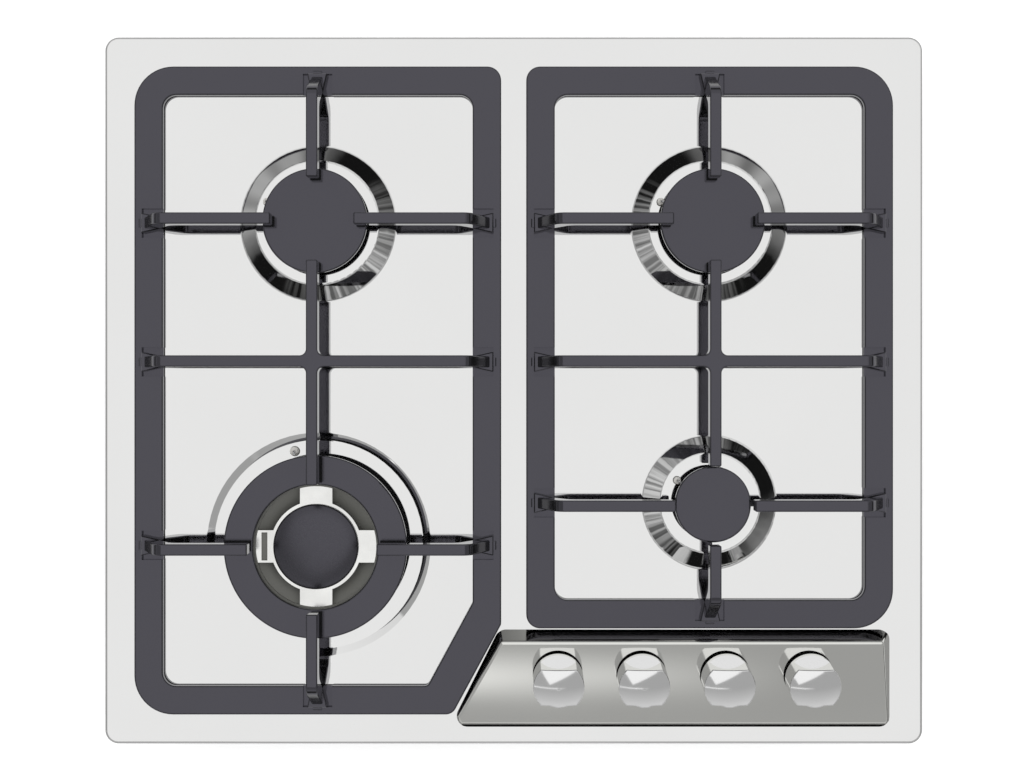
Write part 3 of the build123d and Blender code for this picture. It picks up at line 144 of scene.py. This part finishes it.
# Mirrored sky: the grey wall and its light band
WALL_PLACE = (-1.5, -0.55)
WALL_LIGHT = (0.85, 0.42)
BAND_PLACE = -0.535
BAND_WIDTH = 0.021
BAND_END = (0.2, -0.03)
BAND_STRENGTH = 0.78

# Mirrored sky: upright streaks near the horizon, and the ground under them
STREAK_FLATNESS = 0.15
STREAK_NOISE = (17, 3)
STREAK_EDGES = (0.42, 0.6)
STREAK_RISE = (0.25, 0.36)
STREAK_LIGHT = (0.0, 0.5)
PATCH_NOISE = (2.2, 1)
PATCH_EDGES = (0.35, 0.6)
PATCH_LIGHT = (0.35, 1.0)
BASE_RISE = (0.29, 0.47)
BASE_LIGHT = (0.008, 0.4)
GROUND_RISE = (0.1, 0.17)
GROUND_LIGHT = (0.5, 0.0)

# Lamps: name, place across and along, and share of the power
LAMPS = (("lamp_left", -1.1, 0.7, 0.6), ("lamp_right", 1.1, -0.2, 0.4))
LAMP_HEIGHT = 1.5
LAMP_SIZE = 1.2

# Floor
FLOOR_REACH = 6.0
FLOOR_GAP = 0.3 * MM
FLOOR_COLOUR = (0.95, 0.95, 0.95)
FLOOR_ROUGHNESS = 0.9
FLOOR_GLOW = 0.42

# Domed cap: its fall from the middle to the edge, and the extra fall near the edge
DOME_NODE = "dome_cap_front_left"
DOME_FALL = 3.0 * MM
DOME_RIM_FALL = 1.6 * MM
DOME_RIM_POWER = 8
DOME_EDGE = 1.2 * MM
DOME_STEPS = 24
DOME_SECTORS = 96
DOME_WELD = 0.01 * MM

COIL_WELD = 0.001 * MM

SINGLE_FINISHES = {"crown_front_left": "ring_crown", DOME_NODE: "dome_enamel"}
FINISHES = {}


# ---------------------------------------------------------------- settings


class FinishSettings(bpy.types.PropertyGroup):
    """Colours and gloss of the surfaces that show."""

    steel: FloatVectorProperty(
        name="Plate steel", description="Colour of the polished plate", subtype="COLOR",
        default=(0.79, 0.79, 0.785), min=0, max=1,
    )
    panel: FloatVectorProperty(
        name="Panel steel", description="Colour of the knob panel", subtype="COLOR",
        default=(0.76, 0.76, 0.73), min=0, max=1,
    )
    chrome: FloatVectorProperty(
        name="Chrome", description="Colour of the knobs", subtype="COLOR",
        default=(0.86, 0.86, 0.86), min=0, max=1,
    )
    enamel: FloatVectorProperty(
        name="Enamel", description="Colour of the pan supports and caps", subtype="COLOR",
        default=(0.011, 0.011, 0.0115), min=0, max=1,
    )
    crown: FloatVectorProperty(
        name="Crown", description="Colour of the burner crowns", subtype="COLOR",
        default=(0.84, 0.84, 0.82), min=0, max=1,
    )
    steel_gloss: FloatProperty(
        name="Plate roughness", description="Roughness of the polished plate", default=0.03,
        min=0, max=1, subtype="FACTOR",
    )
    enamel_gloss: FloatProperty(
        name="Enamel roughness", description="Roughness of the enamel", default=0.1,
        min=0, max=1, subtype="FACTOR",
    )


class StageSettings(bpy.types.PropertyGroup):
    """Camera, light and floor."""

    camera_height: FloatProperty(
        name="Camera height", description="Camera above the plate", default=1.15, unit="LENGTH"
    )
    pixels_per_metre: FloatProperty(
        name="Scale", description="Photograph's pixels per metre at the plate", default=1387.0
    )
    lamp_power: FloatProperty(
        name="Lamp power", description="Strength of the big soft lamp", default=6.0,
        unit="POWER",
    )
    sky: FloatProperty(
        name="Sky", description="Strength of the even light all round", default=0.8, min=0
    )


# ---------------------------------------------------------------- node helpers


def new_material(name):
    """Empty node material with its output, and a Principled shader joined to it."""
    material = bpy.data.materials.new(name)
    material.use_nodes = True
    nodes = material.node_tree.nodes
    nodes.clear()
    output = nodes.new("ShaderNodeOutputMaterial")
    shader = nodes.new("ShaderNodeBsdfPrincipled")
    material.node_tree.links.new(shader.outputs["BSDF"], output.inputs["Surface"])
    return material, shader


def put_group(material, group, **values):
    """Place a shader node group in a material, with its values, fed by Object coordinates."""
    tree = material.node_tree
    node = tree.nodes.new("ShaderNodeGroup")
    node.node_tree = group
    coordinates = tree.nodes.new("ShaderNodeTexCoord")
    tree.links.new(coordinates.outputs["Object"], node.inputs["Place"])
    for name, value in values.items():
        node.inputs[name.replace("_", " ").capitalize()].default_value = value
    return node


def new_group(name, inputs, outputs):
    """Shader node group with named sockets, and its own input and output nodes."""
    group = bpy.data.node_groups.new(name, "ShaderNodeTree")
    for label, kind, value in inputs:
        socket = group.interface.new_socket(label, in_out="INPUT", socket_type=kind)
        if value is not None:
            socket.default_value = value
    for label, kind in outputs:
        group.interface.new_socket(label, in_out="OUTPUT", socket_type=kind)
    entry = group.nodes.new("NodeGroupInput")
    leave = group.nodes.new("NodeGroupOutput")
    return group, entry, leave


def noise(tree, place, scale, detail, stretch=None):
    """Noise texture on a place, at a scale per metre, stretched where asked."""
    if stretch is not None:
        mapping = tree.nodes.new("ShaderNodeMapping")
        mapping.inputs["Scale"].default_value = stretch
        tree.links.new(place, mapping.inputs["Vector"])
        place = mapping.outputs["Vector"]
    texture = tree.nodes.new("ShaderNodeTexNoise")
    texture.inputs["Scale"].default_value = scale
    texture.inputs["Detail"].default_value = detail
    tree.links.new(place, texture.inputs["Vector"])
    return texture.outputs["Fac"]


def spread(tree, value, low, high, source=(0.3, 0.7)):
    """Map a noise value on to the range from low to high, which are numbers or sockets."""
    node = tree.nodes.new("ShaderNodeMapRange")
    tree.links.new(value, node.inputs["Value"])
    node.inputs["From Min"].default_value = source[0]
    node.inputs["From Max"].default_value = source[1]
    for name, end in (("To Min", low), ("To Max", high)):
        if isinstance(end, (int, float)):
            node.inputs[name].default_value = end
        else:
            tree.links.new(end, node.inputs[name])
    return node.outputs["Result"]


def maths(tree, operation, a, b):
    """Math node on two numbers or sockets."""
    node = tree.nodes.new("ShaderNodeMath")
    node.operation = operation
    for index, value in enumerate((a, b)):
        if isinstance(value, (int, float)):
            node.inputs[index].default_value = value
        else:
            tree.links.new(value, node.inputs[index])
    return node.outputs[0]


def distance(tree, x, y):
    """Length of the flat vector that two sockets give."""
    squares = maths(tree, "ADD", maths(tree, "POWER", x, 2), maths(tree, "POWER", y, 2))
    return maths(tree, "SQRT", squares, 0.0)


def shade(tree, colour, factor):
    """Colour multiplied by a grey factor."""
    node = tree.nodes.new("ShaderNodeVectorMath")
    node.operation = "SCALE"
    tree.links.new(colour, node.inputs[0])
    tree.links.new(factor, node.inputs["Scale"])
    return node.outputs[0]


# ---------------------------------------------------------------- shared surface effects


def polish_group():
    """Polished sheet: faint drawn grain, and wipe marks that change the gloss."""
    group, entry, leave = new_group(
        "polished_sheet",
        [
            ("Place", "NodeSocketVector", None),
            ("Colour", "NodeSocketColor", (0.8, 0.8, 0.8, 1)),
            ("Roughness", "NodeSocketFloat", 0.05),
            ("Wipe", "NodeSocketFloat", 0.3),
            ("Grain", "NodeSocketFloat", 0.02),
        ],
        [
            ("Colour", "NodeSocketColor"),
            ("Roughness", "NodeSocketFloat"),
            ("Height", "NodeSocketFloat"),
        ],
    )
    place = entry.outputs["Place"]
    drawn = noise(group, place, *DRAWN_NOISE, stretch=DRAWN_STRETCH)
    cloud = noise(group, place, *WIPE_NOISE)
    tint = spread(group, cloud, *WIPE_TINT)
    group.links.new(shade(group, entry.outputs["Colour"], tint), leave.inputs["Colour"])
    extra = spread(group, cloud, 0.0, 1.0)
    extra = maths(group, "MULTIPLY", extra, entry.outputs["Wipe"])
    extra = maths(group, "MULTIPLY", extra, entry.outputs["Roughness"])
    total = maths(group, "ADD", entry.outputs["Roughness"], extra)
    group.links.new(total, leave.inputs["Roughness"])
    group.links.new(
        maths(group, "MULTIPLY", drawn, entry.outputs["Grain"]), leave.inputs["Height"]
    )
    return group


def enamel_group():
    """Glossy enamel: fine speckle in colour and gloss, and a soft orange-peel height."""
    group, entry, leave = new_group(
        "gloss_enamel",
        [
            ("Place", "NodeSocketVector", None),
            ("Colour", "NodeSocketColor", (0.05, 0.05, 0.06, 1)),
            ("Roughness", "NodeSocketFloat", 0.45),
            ("Speckle", "NodeSocketFloat", 0.12),
        ],
        [
            ("Colour", "NodeSocketColor"),
            ("Roughness", "NodeSocketFloat"),
            ("Height", "NodeSocketFloat"),
        ],
    )
    place = entry.outputs["Place"]
    fine = noise(group, place, *SPECKLE_NOISE)
    peel = noise(group, place, *PEEL_NOISE)
    low = maths(group, "SUBTRACT", 1.0, entry.outputs["Speckle"])
    high = maths(group, "ADD", 1.0, entry.outputs["Speckle"])
    tint = spread(group, fine, low, high)
    group.links.new(shade(group, entry.outputs["Colour"], tint), leave.inputs["Colour"])
    gloss = maths(
        group, "MULTIPLY", entry.outputs["Roughness"], spread(group, peel, *PEEL_GLOSS)
    )
    group.links.new(gloss, leave.inputs["Roughness"])
    height = maths(group, "ADD", maths(group, "MULTIPLY", fine, SPECKLE_HEIGHT), peel)
    group.links.new(height, leave.inputs["Height"])
    return group


def cast_group():
    """Cast or moulded surface: grainy height, with blotches in colour and gloss."""
    group, entry, leave = new_group(
        "cast_grain",
        [
            ("Place", "NodeSocketVector", None),
            ("Colour", "NodeSocketColor", (0.5, 0.5, 0.5, 1)),
            ("Roughness", "NodeSocketFloat", 0.5),
            ("Grain scale", "NodeSocketFloat", 900.0),
        ],
        [
            ("Colour", "NodeSocketColor"),
            ("Roughness", "NodeSocketFloat"),
            ("Height", "NodeSocketFloat"),
        ],
    )
    place = entry.outputs["Place"]
    grain = group.nodes.new("ShaderNodeTexNoise")
    grain.inputs["Detail"].default_value = GRAIN_DETAIL
    group.links.new(place, grain.inputs["Vector"])
    group.links.new(entry.outputs["Grain scale"], grain.inputs["Scale"])
    blotch = noise(group, place, *BLOTCH_NOISE)
    tint = spread(group, blotch, *BLOTCH_TINT)
    group.links.new(shade(group, entry.outputs["Colour"], tint), leave.inputs["Colour"])
    gloss = maths(
        group, "MULTIPLY", entry.outputs["Roughness"], spread(group, blotch, *BLOTCH_GLOSS)
    )
    group.links.new(gloss, leave.inputs["Roughness"])
    group.links.new(grain.outputs["Fac"], leave.inputs["Height"])
    return group


def finish(name, group, colour, roughness, metallic, bump, ior=1.5, tint=(1, 1, 1), **values):
    """Material whose colour, gloss and bump come from one of the shared effects."""
    material, shader = new_material(name)
    shader.inputs["Metallic"].default_value = metallic
    shader.inputs["IOR"].default_value = ior
    shader.inputs["Specular Tint"].default_value = (*tint, 1)
    node = put_group(material, group, colour=(*colour, 1), roughness=roughness, **values)
    tree = material.node_tree
    tree.links.new(node.outputs["Colour"], shader.inputs["Base Color"])
    tree.links.new(node.outputs["Roughness"], shader.inputs["Roughness"])
    relief = tree.nodes.new("ShaderNodeBump")
    relief.inputs["Strength"].default_value = bump
    relief.inputs["Distance"].default_value = BUMP_DEPTH
    tree.links.new(node.outputs["Height"], relief.inputs["Height"])
    tree.links.new(relief.outputs["Normal"], shader.inputs["Normal"])
    material.diffuse_color = (*colour, 1)
    return material


def coat_and_shade_rim(material, node, level, reach, colour, roughness):
    """Cover a round node with a dull coat, and leave its machined top bare within a reach; past the reach the coat
    darkens the top's rim as painted shade.
    """
    tree = material.node_tree
    shader = next(item for item in tree.nodes if item.type == "BSDF_PRINCIPLED")
    place = next(item for item in tree.nodes if item.type == "TEX_COORD").outputs["Object"]
    split = tree.nodes.new("ShaderNodeSeparateXYZ")
    tree.links.new(place, split.inputs[0])
    top = spread(tree, split.outputs["Z"], 0.0, 1.0, source=(level - COAT_EDGE, level))
    low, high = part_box(node)
    across = maths(tree, "SUBTRACT", split.outputs["X"], (low.x + high.x) / 2)
    along = maths(tree, "SUBTRACT", split.outputs["Y"], (low.y + high.y) / 2)
    radius = distance(tree, across, along)
    # Past the reach the coat colour paints shade on the machined top's rim
    near = spread(tree, radius, 1.0, 0.0, source=(reach, reach + COAT_EDGE))
    bare = maths(tree, "MULTIPLY", top, near)
    mix = tree.nodes.new("ShaderNodeMix")
    mix.data_type = "RGBA"
    tree.links.new(bare, mix.inputs["Factor"])
    coated_and_shaded, machined = (mix.inputs[index] for index in MIX_COLOURS)
    coated_and_shaded.default_value = (*colour, 1)
    tree.links.new(shader.inputs["Base Color"].links[0].from_socket, machined)
    tree.links.new(mix.outputs[MIX_COLOUR_RESULT], shader.inputs["Base Color"])
    gloss = shader.inputs["Roughness"].links[0].from_socket
    tree.links.new(blend_values(tree, roughness, gloss, bare), shader.inputs["Roughness"])
    tree.links.new(bare, shader.inputs["Metallic"])
    return material


def make_finishes(settings):
    """One material for each of the record's slots, and two for single pieces."""
    polish, enamel, cast = polish_group(), enamel_group(), cast_group()
    steel, panel, chrome = tuple(settings.steel), tuple(settings.panel), tuple(settings.chrome)
    black, crown = tuple(settings.enamel), tuple(settings.crown)
    return {
        "plate_steel": finish(
            "plate_steel", polish, steel,
            roughness=settings.steel_gloss, metallic=1.0, bump=0.02, grain=0.02,
        ),
        "panel_steel": finish(
            "panel_steel", polish, panel,
            roughness=0.05, metallic=1.0, bump=0.05, grain=0.04, wipe=0.3,
        ),
        "knob_chrome": finish(
            "knob_chrome", polish, chrome,
            roughness=0.065, metallic=1.0, bump=0.02, grain=0.02,
        ),
        "black_enamel": finish(
            "black_enamel", enamel, black,
            roughness=settings.enamel_gloss, metallic=0.0, bump=0.04,
            ior=ENAMEL_IOR, tint=ENAMEL_TINT,
        ),
        "crown_aluminium": finish(
            "crown_aluminium", cast, crown,
            roughness=CROWN_ROUGHNESS, metallic=1.0, bump=0.06,
        ),
        "cast_aluminium": finish(
            "cast_aluminium", cast, (0.42, 0.42, 0.4), roughness=0.5, metallic=0.9, bump=0.4
        ),
        "box_steel": finish(
            "box_steel", cast, (0.55, 0.56, 0.57),
            roughness=0.38, metallic=1.0, bump=0.05, grain_scale=120.0,
        ),
        "screw_steel": finish(
            "screw_steel", polish, (0.6, 0.6, 0.61), roughness=0.25, metallic=1.0, bump=0.05
        ),
        "brass": finish(
            "brass", cast, (0.68, 0.5, 0.24), roughness=0.3, metallic=1.0, bump=0.1
        ),
        "pipe_aluminium": finish(
            "pipe_aluminium", polish, (0.68, 0.68, 0.68), roughness=0.3, metallic=1.0, bump=0.1
        ),
        "ceramic": finish(
            "ceramic", cast, (0.82, 0.8, 0.76), roughness=0.2, metallic=0.0, bump=0.05
        ),
        "foam": finish(
            "foam", cast, (0.03, 0.03, 0.032), roughness=0.95, metallic=0.0, bump=0.8
        ),
        "foot_rubber": finish(
            "foot_rubber", cast, (0.02, 0.02, 0.021), roughness=0.7, metallic=0.0, bump=0.3
        ),
        "lead_rubber": finish(
            "lead_rubber", cast, (0.35, 0.06, 0.035), roughness=0.5, metallic=0.0, bump=0.1
        ),
        "dark_plastic": finish(
            "dark_plastic", cast, (0.025, 0.025, 0.028), roughness=0.5, metallic=0.0, bump=0.3
        ),
        # Ring crown: a dull coat below the machined top, and painted shade on the top's rim past the reach
        "ring_crown": coat_and_shade_rim(
            finish(
                "ring_crown", cast, crown, roughness=CROWN_ROUGHNESS, metallic=1.0, bump=0.06
            ),
            "crown_front_left", CROWN_TOP, RIM_SHADE_REACH, COAT_AND_RIM_SHADE, COAT_ROUGHNESS,
        ),
        "dome_enamel": finish(
            "dome_enamel", enamel, black,
            roughness=DOME_ROUGHNESS, metallic=0.0, bump=0.01, ior=ENAMEL_IOR, tint=ENAMEL_TINT,
        ),
    }


# ---------------------------------------------------------------- operators


class COOKTOP_OT_stage(bpy.types.Operator):
    """Set up the camera over the plate, the white floor, the sky and the soft lamps"""

    bl_idname = "cooktop.stage"
    bl_label = "Stage"

    def execute(self, context):
        settings = context.scene.cooktop_stage
        scene = context.scene
        scene.view_settings.view_transform = "Standard"
        make_camera(scene, settings)
        make_sky(scene, settings)
        make_lamps(settings)
        make_floor()
        return {"FINISHED"}


def make_camera(scene, settings):
    """Camera straight over the plate's middle, which lies a little off the picture's middle."""
    data = bpy.data.cameras.new("photo_camera")
    camera = bpy.data.objects.new("photo_camera", data)
    scene.collection.objects.link(camera)
    camera.location = (0, 0, PLATE_TOP + settings.camera_height)
    focal_pixels = settings.pixels_per_metre * settings.camera_height
    data.sensor_width = SENSOR_WIDTH
    data.lens = focal_pixels * SENSOR_WIDTH / PHOTO_SIZE[0]
    data.shift_x = (PHOTO_SIZE[0] / 2 - PHOTO_CENTRE[0]) / PHOTO_SIZE[0]
    data.shift_y = (PHOTO_CENTRE[1] - PHOTO_SIZE[1] / 2) / PHOTO_SIZE[0]
    data.clip_start, data.clip_end = CAMERA_CLIP
    scene.camera = camera


def make_sky(scene, settings):
    """White sky for the camera and for even light, and a studio's dark gaps for mirrors."""
    world = bpy.data.worlds.new("studio_sky")
    scene.world = world
    world.use_nodes = True
    tree = world.node_tree
    tree.nodes.clear()
    output = tree.nodes.new("ShaderNodeOutputWorld")
    paths = tree.nodes.new("ShaderNodeLightPath")
    even = tree.nodes.new("ShaderNodeBackground")
    even.inputs["Color"].default_value = (1, 1, 1, 1)
    even.inputs["Strength"].default_value = settings.sky
    seen = tree.nodes.new("ShaderNodeBackground")
    seen.inputs["Color"].default_value = (1, 1, 1, 1)
    mirrored = tree.nodes.new("ShaderNodeBackground")
    tree.links.new(mirror_sky(tree), mirrored.inputs["Color"])
    first = tree.nodes.new("ShaderNodeMixShader")
    tree.links.new(paths.outputs["Is Glossy Ray"], first.inputs[0])
    tree.links.new(even.outputs[0], first.inputs[1])
    tree.links.new(mirrored.outputs[0], first.inputs[2])
    second = tree.nodes.new("ShaderNodeMixShader")
    tree.links.new(paths.outputs["Is Camera Ray"], second.inputs[0])
    tree.links.new(first.outputs[0], second.inputs[1])
    tree.links.new(seen.outputs[0], second.inputs[2])
    tree.links.new(second.outputs[0], output.inputs["Surface"])


def mirror_sky(tree):
    """Colour of the sky in mirrors: a white panel overhead, grey in front of it, streaks low down."""
    coordinates = tree.nodes.new("ShaderNodeTexCoord")
    split = tree.nodes.new("ShaderNodeSeparateXYZ")
    tree.links.new(coordinates.outputs["Generated"], split.inputs[0])
    rise = split.outputs["Z"]
    flat_x = maths(tree, "DIVIDE", split.outputs["X"], rise)
    flat_y = maths(tree, "DIVIDE", split.outputs["Y"], rise)
    panel = overhead_panel(tree, flat_x, flat_y)
    front = front_grey(tree, flat_x, flat_y)
    away = distance(tree, flat_x, flat_y)
    white = spread(tree, away, 1.0, PANEL_RIM, source=PANEL_MIDDLE)
    high = blend_values(tree, front, white, panel)
    low = low_streaks(tree, coordinates.outputs["Generated"], rise)
    is_high = spread(tree, rise, 0.0, 1.0, source=LOW_SKY_TOP)
    return blend_values(tree, low, high, is_high)


def overhead_panel(tree, flat_x, flat_y):
    """Mask of the white panel overhead, whose corner points to the front."""
    across = maths(tree, "SUBTRACT", flat_x, PANEL_CORNER[0])
    along = maths(tree, "SUBTRACT", flat_y, PANEL_CORNER[1])
    mask = None
    for slope in PANEL_SLOPES:
        past = maths(tree, "SUBTRACT", along, maths(tree, "MULTIPLY", across, slope))
        side = spread(tree, past, 0.0, 1.0, source=(0.0, PANEL_SOFTNESS))
        mask = side if mask is None else maths(tree, "MULTIPLY", mask, side)
    return mask


def front_grey(tree, flat_x, flat_y):
    """Grey wall in front of the panel, lighter low down, with a light band at its left."""
    wall = spread(tree, flat_y, *WALL_LIGHT, source=WALL_PLACE)
    offset = maths(tree, "SUBTRACT", flat_y, BAND_PLACE)
    near = spread(tree, maths(tree, "ABSOLUTE", offset, 0.0), 1.0, 0.0, source=(0.0, BAND_WIDTH))
    left = spread(tree, flat_x, 0.0, 1.0, source=BAND_END)
    band = maths(tree, "MULTIPLY", maths(tree, "MULTIPLY", near, left), BAND_STRENGTH)
    return maths(tree, "ADD", wall, band)


def low_streaks(tree, direction, rise):
    """Sky near the horizon: dark below, and higher up upright streaks that differ all round."""
    flat = tree.nodes.new("ShaderNodeVectorMath")
    flat.operation = "MULTIPLY"
    flat.inputs[1].default_value = (1, 1, STREAK_FLATNESS)
    tree.links.new(direction, flat.inputs[0])
    narrow = noise(tree, flat.outputs[0], *STREAK_NOISE)
    wide = noise(tree, flat.outputs[0], *PATCH_NOISE)
    streak = spread(tree, narrow, 0.0, 1.0, source=STREAK_EDGES)
    patch = spread(tree, wide, *PATCH_LIGHT, source=PATCH_EDGES)
    bright = maths(tree, "MULTIPLY", streak, patch)
    base = spread(tree, rise, *BASE_LIGHT, source=BASE_RISE)
    lift = spread(tree, rise, *STREAK_LIGHT, source=STREAK_RISE)
    upper = maths(tree, "ADD", maths(tree, "MULTIPLY", bright, lift), base)
    ground = spread(tree, rise, *GROUND_LIGHT, source=GROUND_RISE)
    return maths(tree, "ADD", upper, maths(tree, "MULTIPLY", patch, ground))


def blend_values(tree, low, high, factor):
    """Number between two numbers or sockets."""
    node = tree.nodes.new("ShaderNodeMix")
    for index, value in zip(MIX_NUMBERS, (low, high)):
        if isinstance(value, (int, float)):
            node.inputs[index].default_value = value
        else:
            tree.links.new(value, node.inputs[index])
    tree.links.new(factor, node.inputs[MIX_FACTOR])
    return node.outputs[0]


def make_lamps(settings):
    """Two big soft lamps, one on each side of the camera, that mirrors don't show."""
    for name, x, y, share in LAMPS:
        data = bpy.data.lights.new(name, "AREA")
        data.shape = "SQUARE"
        data.size = LAMP_SIZE
        data.energy = settings.lamp_power * share
        lamp = bpy.data.objects.new(name, data)
        bpy.context.scene.collection.objects.link(lamp)
        lamp.location = (x, y, LAMP_HEIGHT)
        lamp.rotation_euler = (-Vector(lamp.location)).to_track_quat("-Z", "Y").to_euler()
        lamp.visible_glossy = False


def make_floor():
    """White floor under the cooktop's box."""
    low = CAD_BOUNDS[0][2]
    shape = bmesh.new()
    bmesh.ops.create_grid(shape, x_segments=1, y_segments=1, size=FLOOR_REACH)
    bmesh.ops.translate(shape, verts=shape.verts, vec=(0, 0, low - FLOOR_GAP))
    mesh = bpy.data.meshes.new("floor")
    shape.to_mesh(mesh)
    shape.free()
    floor = bpy.data.objects.new("floor", mesh)
    bpy.context.scene.collection.objects.link(floor)
    mesh.materials.append(floor_material())


def floor_material():
    """Matt white that glows a little for the camera, so that it's white outside the shadow."""
    material, shader = new_material("floor_white")
    tree = material.node_tree
    shader.inputs["Base Color"].default_value = (*FLOOR_COLOUR, 1)
    shader.inputs["Roughness"].default_value = FLOOR_ROUGHNESS
    shader.inputs["Specular IOR Level"].default_value = 0.0
    shader.inputs["Emission Color"].default_value = (1, 1, 1, 1)
    paths = tree.nodes.new("ShaderNodeLightPath")
    glow = maths(tree, "MULTIPLY", paths.outputs["Is Camera Ray"], FLOOR_GLOW)
    tree.links.new(glow, shader.inputs["Emission Strength"])
    return material


class COOKTOP_OT_dome(bpy.types.Operator):
    """Model the small domed cap of the ring burner, which falls steeply near its edge"""

    bl_idname = "cooktop.dome"
    bl_label = "Domed cap"

    def execute(self, context):
        low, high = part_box(DOME_NODE)
        centre = (low + high) / 2
        radius = (high.x - low.x) / 2
        profile = []
        for step in range(DOME_STEPS + 1):
            share = step / DOME_STEPS
            fall = DOME_FALL * share**2 + DOME_RIM_FALL * share**DOME_RIM_POWER
            profile.append(Vector((radius * share, 0, high.z - fall)))
        rim = profile[-1].z
        profile.append(Vector((radius, 0, rim - DOME_EDGE)))
        profile.append(Vector((radius - DOME_EDGE, 0, rim - 2 * DOME_EDGE)))
        profile.append(Vector((0, 0, rim - 2 * DOME_EDGE)))
        shape = bmesh.new()
        verts = [shape.verts.new(point) for point in profile]
        for first, second in zip(verts, verts[1:]):
            shape.edges.new((first, second))
        bmesh.ops.spin(
            shape, geom=shape.verts[:] + shape.edges[:], cent=(0, 0, 0), axis=(0, 0, 1),
            angle=2 * math.pi, steps=DOME_SECTORS, use_merge=True,
        )
        bmesh.ops.remove_doubles(shape, verts=shape.verts, dist=DOME_WELD)
        bmesh.ops.recalc_face_normals(shape, faces=shape.faces)
        bmesh.ops.translate(shape, verts=shape.verts, vec=(centre.x, centre.y, 0))
        for face in shape.faces:
            face.smooth = face.calc_center_median().z > rim
        mesh = bpy.data.meshes.new("domed_cap")
        shape.to_mesh(mesh)
        shape.free()
        cap = bpy.data.objects.new("domed_cap", mesh)
        context.scene.collection.objects.link(cap)
        mesh.materials.append(FINISHES["dome_enamel"])
        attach(cap, "dome_cap")
        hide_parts(DOME_NODE)
        return {"FINISHED"}


class COOKTOP_OT_springs(bpy.types.Operator):
    """Copy each knob's return spring into a smooth-shaded piece of its own, in place of its CAD node"""

    bl_idname = "cooktop.springs"
    bl_label = "Return springs"

    def execute(self, context):
        for joint in PUSH_JOINTS:
            number = joint["name"].split("_")[1]
            node = frame["nodes"][f"return_spring_{number}"]
            shape = bmesh.new()
            shape.from_mesh(node.data)
            bmesh.ops.transform(shape, matrix=node.matrix_world, verts=shape.verts)
            bmesh.ops.remove_doubles(shape, verts=shape.verts, dist=COIL_WELD)
            for face in shape.faces:
                face.smooth = True
            mesh = bpy.data.meshes.new(f"coil_{number}")
            shape.to_mesh(mesh)
            shape.free()
            coil = bpy.data.objects.new(f"coil_{number}", mesh)
            context.scene.collection.objects.link(coil)
            mesh.materials.append(FINISHES["screw_steel"])
            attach(coil, "cooktop")
            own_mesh(coil)
            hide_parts(node.name)
        return {"FINISHED"}


class COOKTOP_OT_dress(bpy.types.Operator):
    """Give every CAD node the finish of its slot, and two nodes one of their own"""

    bl_idname = "cooktop.dress"
    bl_label = "Dress the CAD pieces"

    def execute(self, context):
        FINISHES.update(make_finishes(context.scene.cooktop_finish))
        slots = {part["node"]: part["material_slot"] for part in frame["record"]["subparts"]}
        for name, node in frame["nodes"].items():
            node.data.materials.clear()
            node.data.materials.append(FINISHES[SINGLE_FINISHES.get(name, slots[name])])
        return {"FINISHED"}


class COOKTOP_PT_panel(bpy.types.Panel):
    """Lists the cooktop's settings and steps"""

    bl_idname = "COOKTOP_PT_panel"
    bl_label = "Gas cooktop"
    bl_space_type = "VIEW_3D"
    bl_region_type = "UI"
    bl_category = "Cooktop"

    def draw(self, context):
        column = self.layout.column()
        for step in STEPS:
            column.operator(step.bl_idname)
        for name in ("cooktop_finish", "cooktop_stage"):
            group = getattr(context.scene, name)
            box = self.layout.box()
            for key in group.__annotations__:
                box.prop(group, key)


SETTINGS = {
    "cooktop_finish": FinishSettings,
    "cooktop_stage": StageSettings,
}
STEPS = [COOKTOP_OT_stage, COOKTOP_OT_dress, COOKTOP_OT_dome, COOKTOP_OT_springs]


def register():
    for group in SETTINGS.values():
        bpy.utils.register_class(group)
    for name, group in SETTINGS.items():
        setattr(bpy.types.Scene, name, PointerProperty(type=group))
    for step in STEPS:
        bpy.utils.register_class(step)
    bpy.utils.register_class(COOKTOP_PT_panel)


def unregister():
    bpy.utils.unregister_class(COOKTOP_PT_panel)
    for step in reversed(STEPS):
        bpy.utils.unregister_class(step)
    for name in SETTINGS:
        delattr(bpy.types.Scene, name)
    for group in SETTINGS.values():
        bpy.utils.unregister_class(group)


def main():
    """Register the add-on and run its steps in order."""
    register()
    for step in STEPS:
        family, name = step.bl_idname.split(".")
        getattr(getattr(bpy.ops, family), name)()


if __name__ == "__main__":
    main()
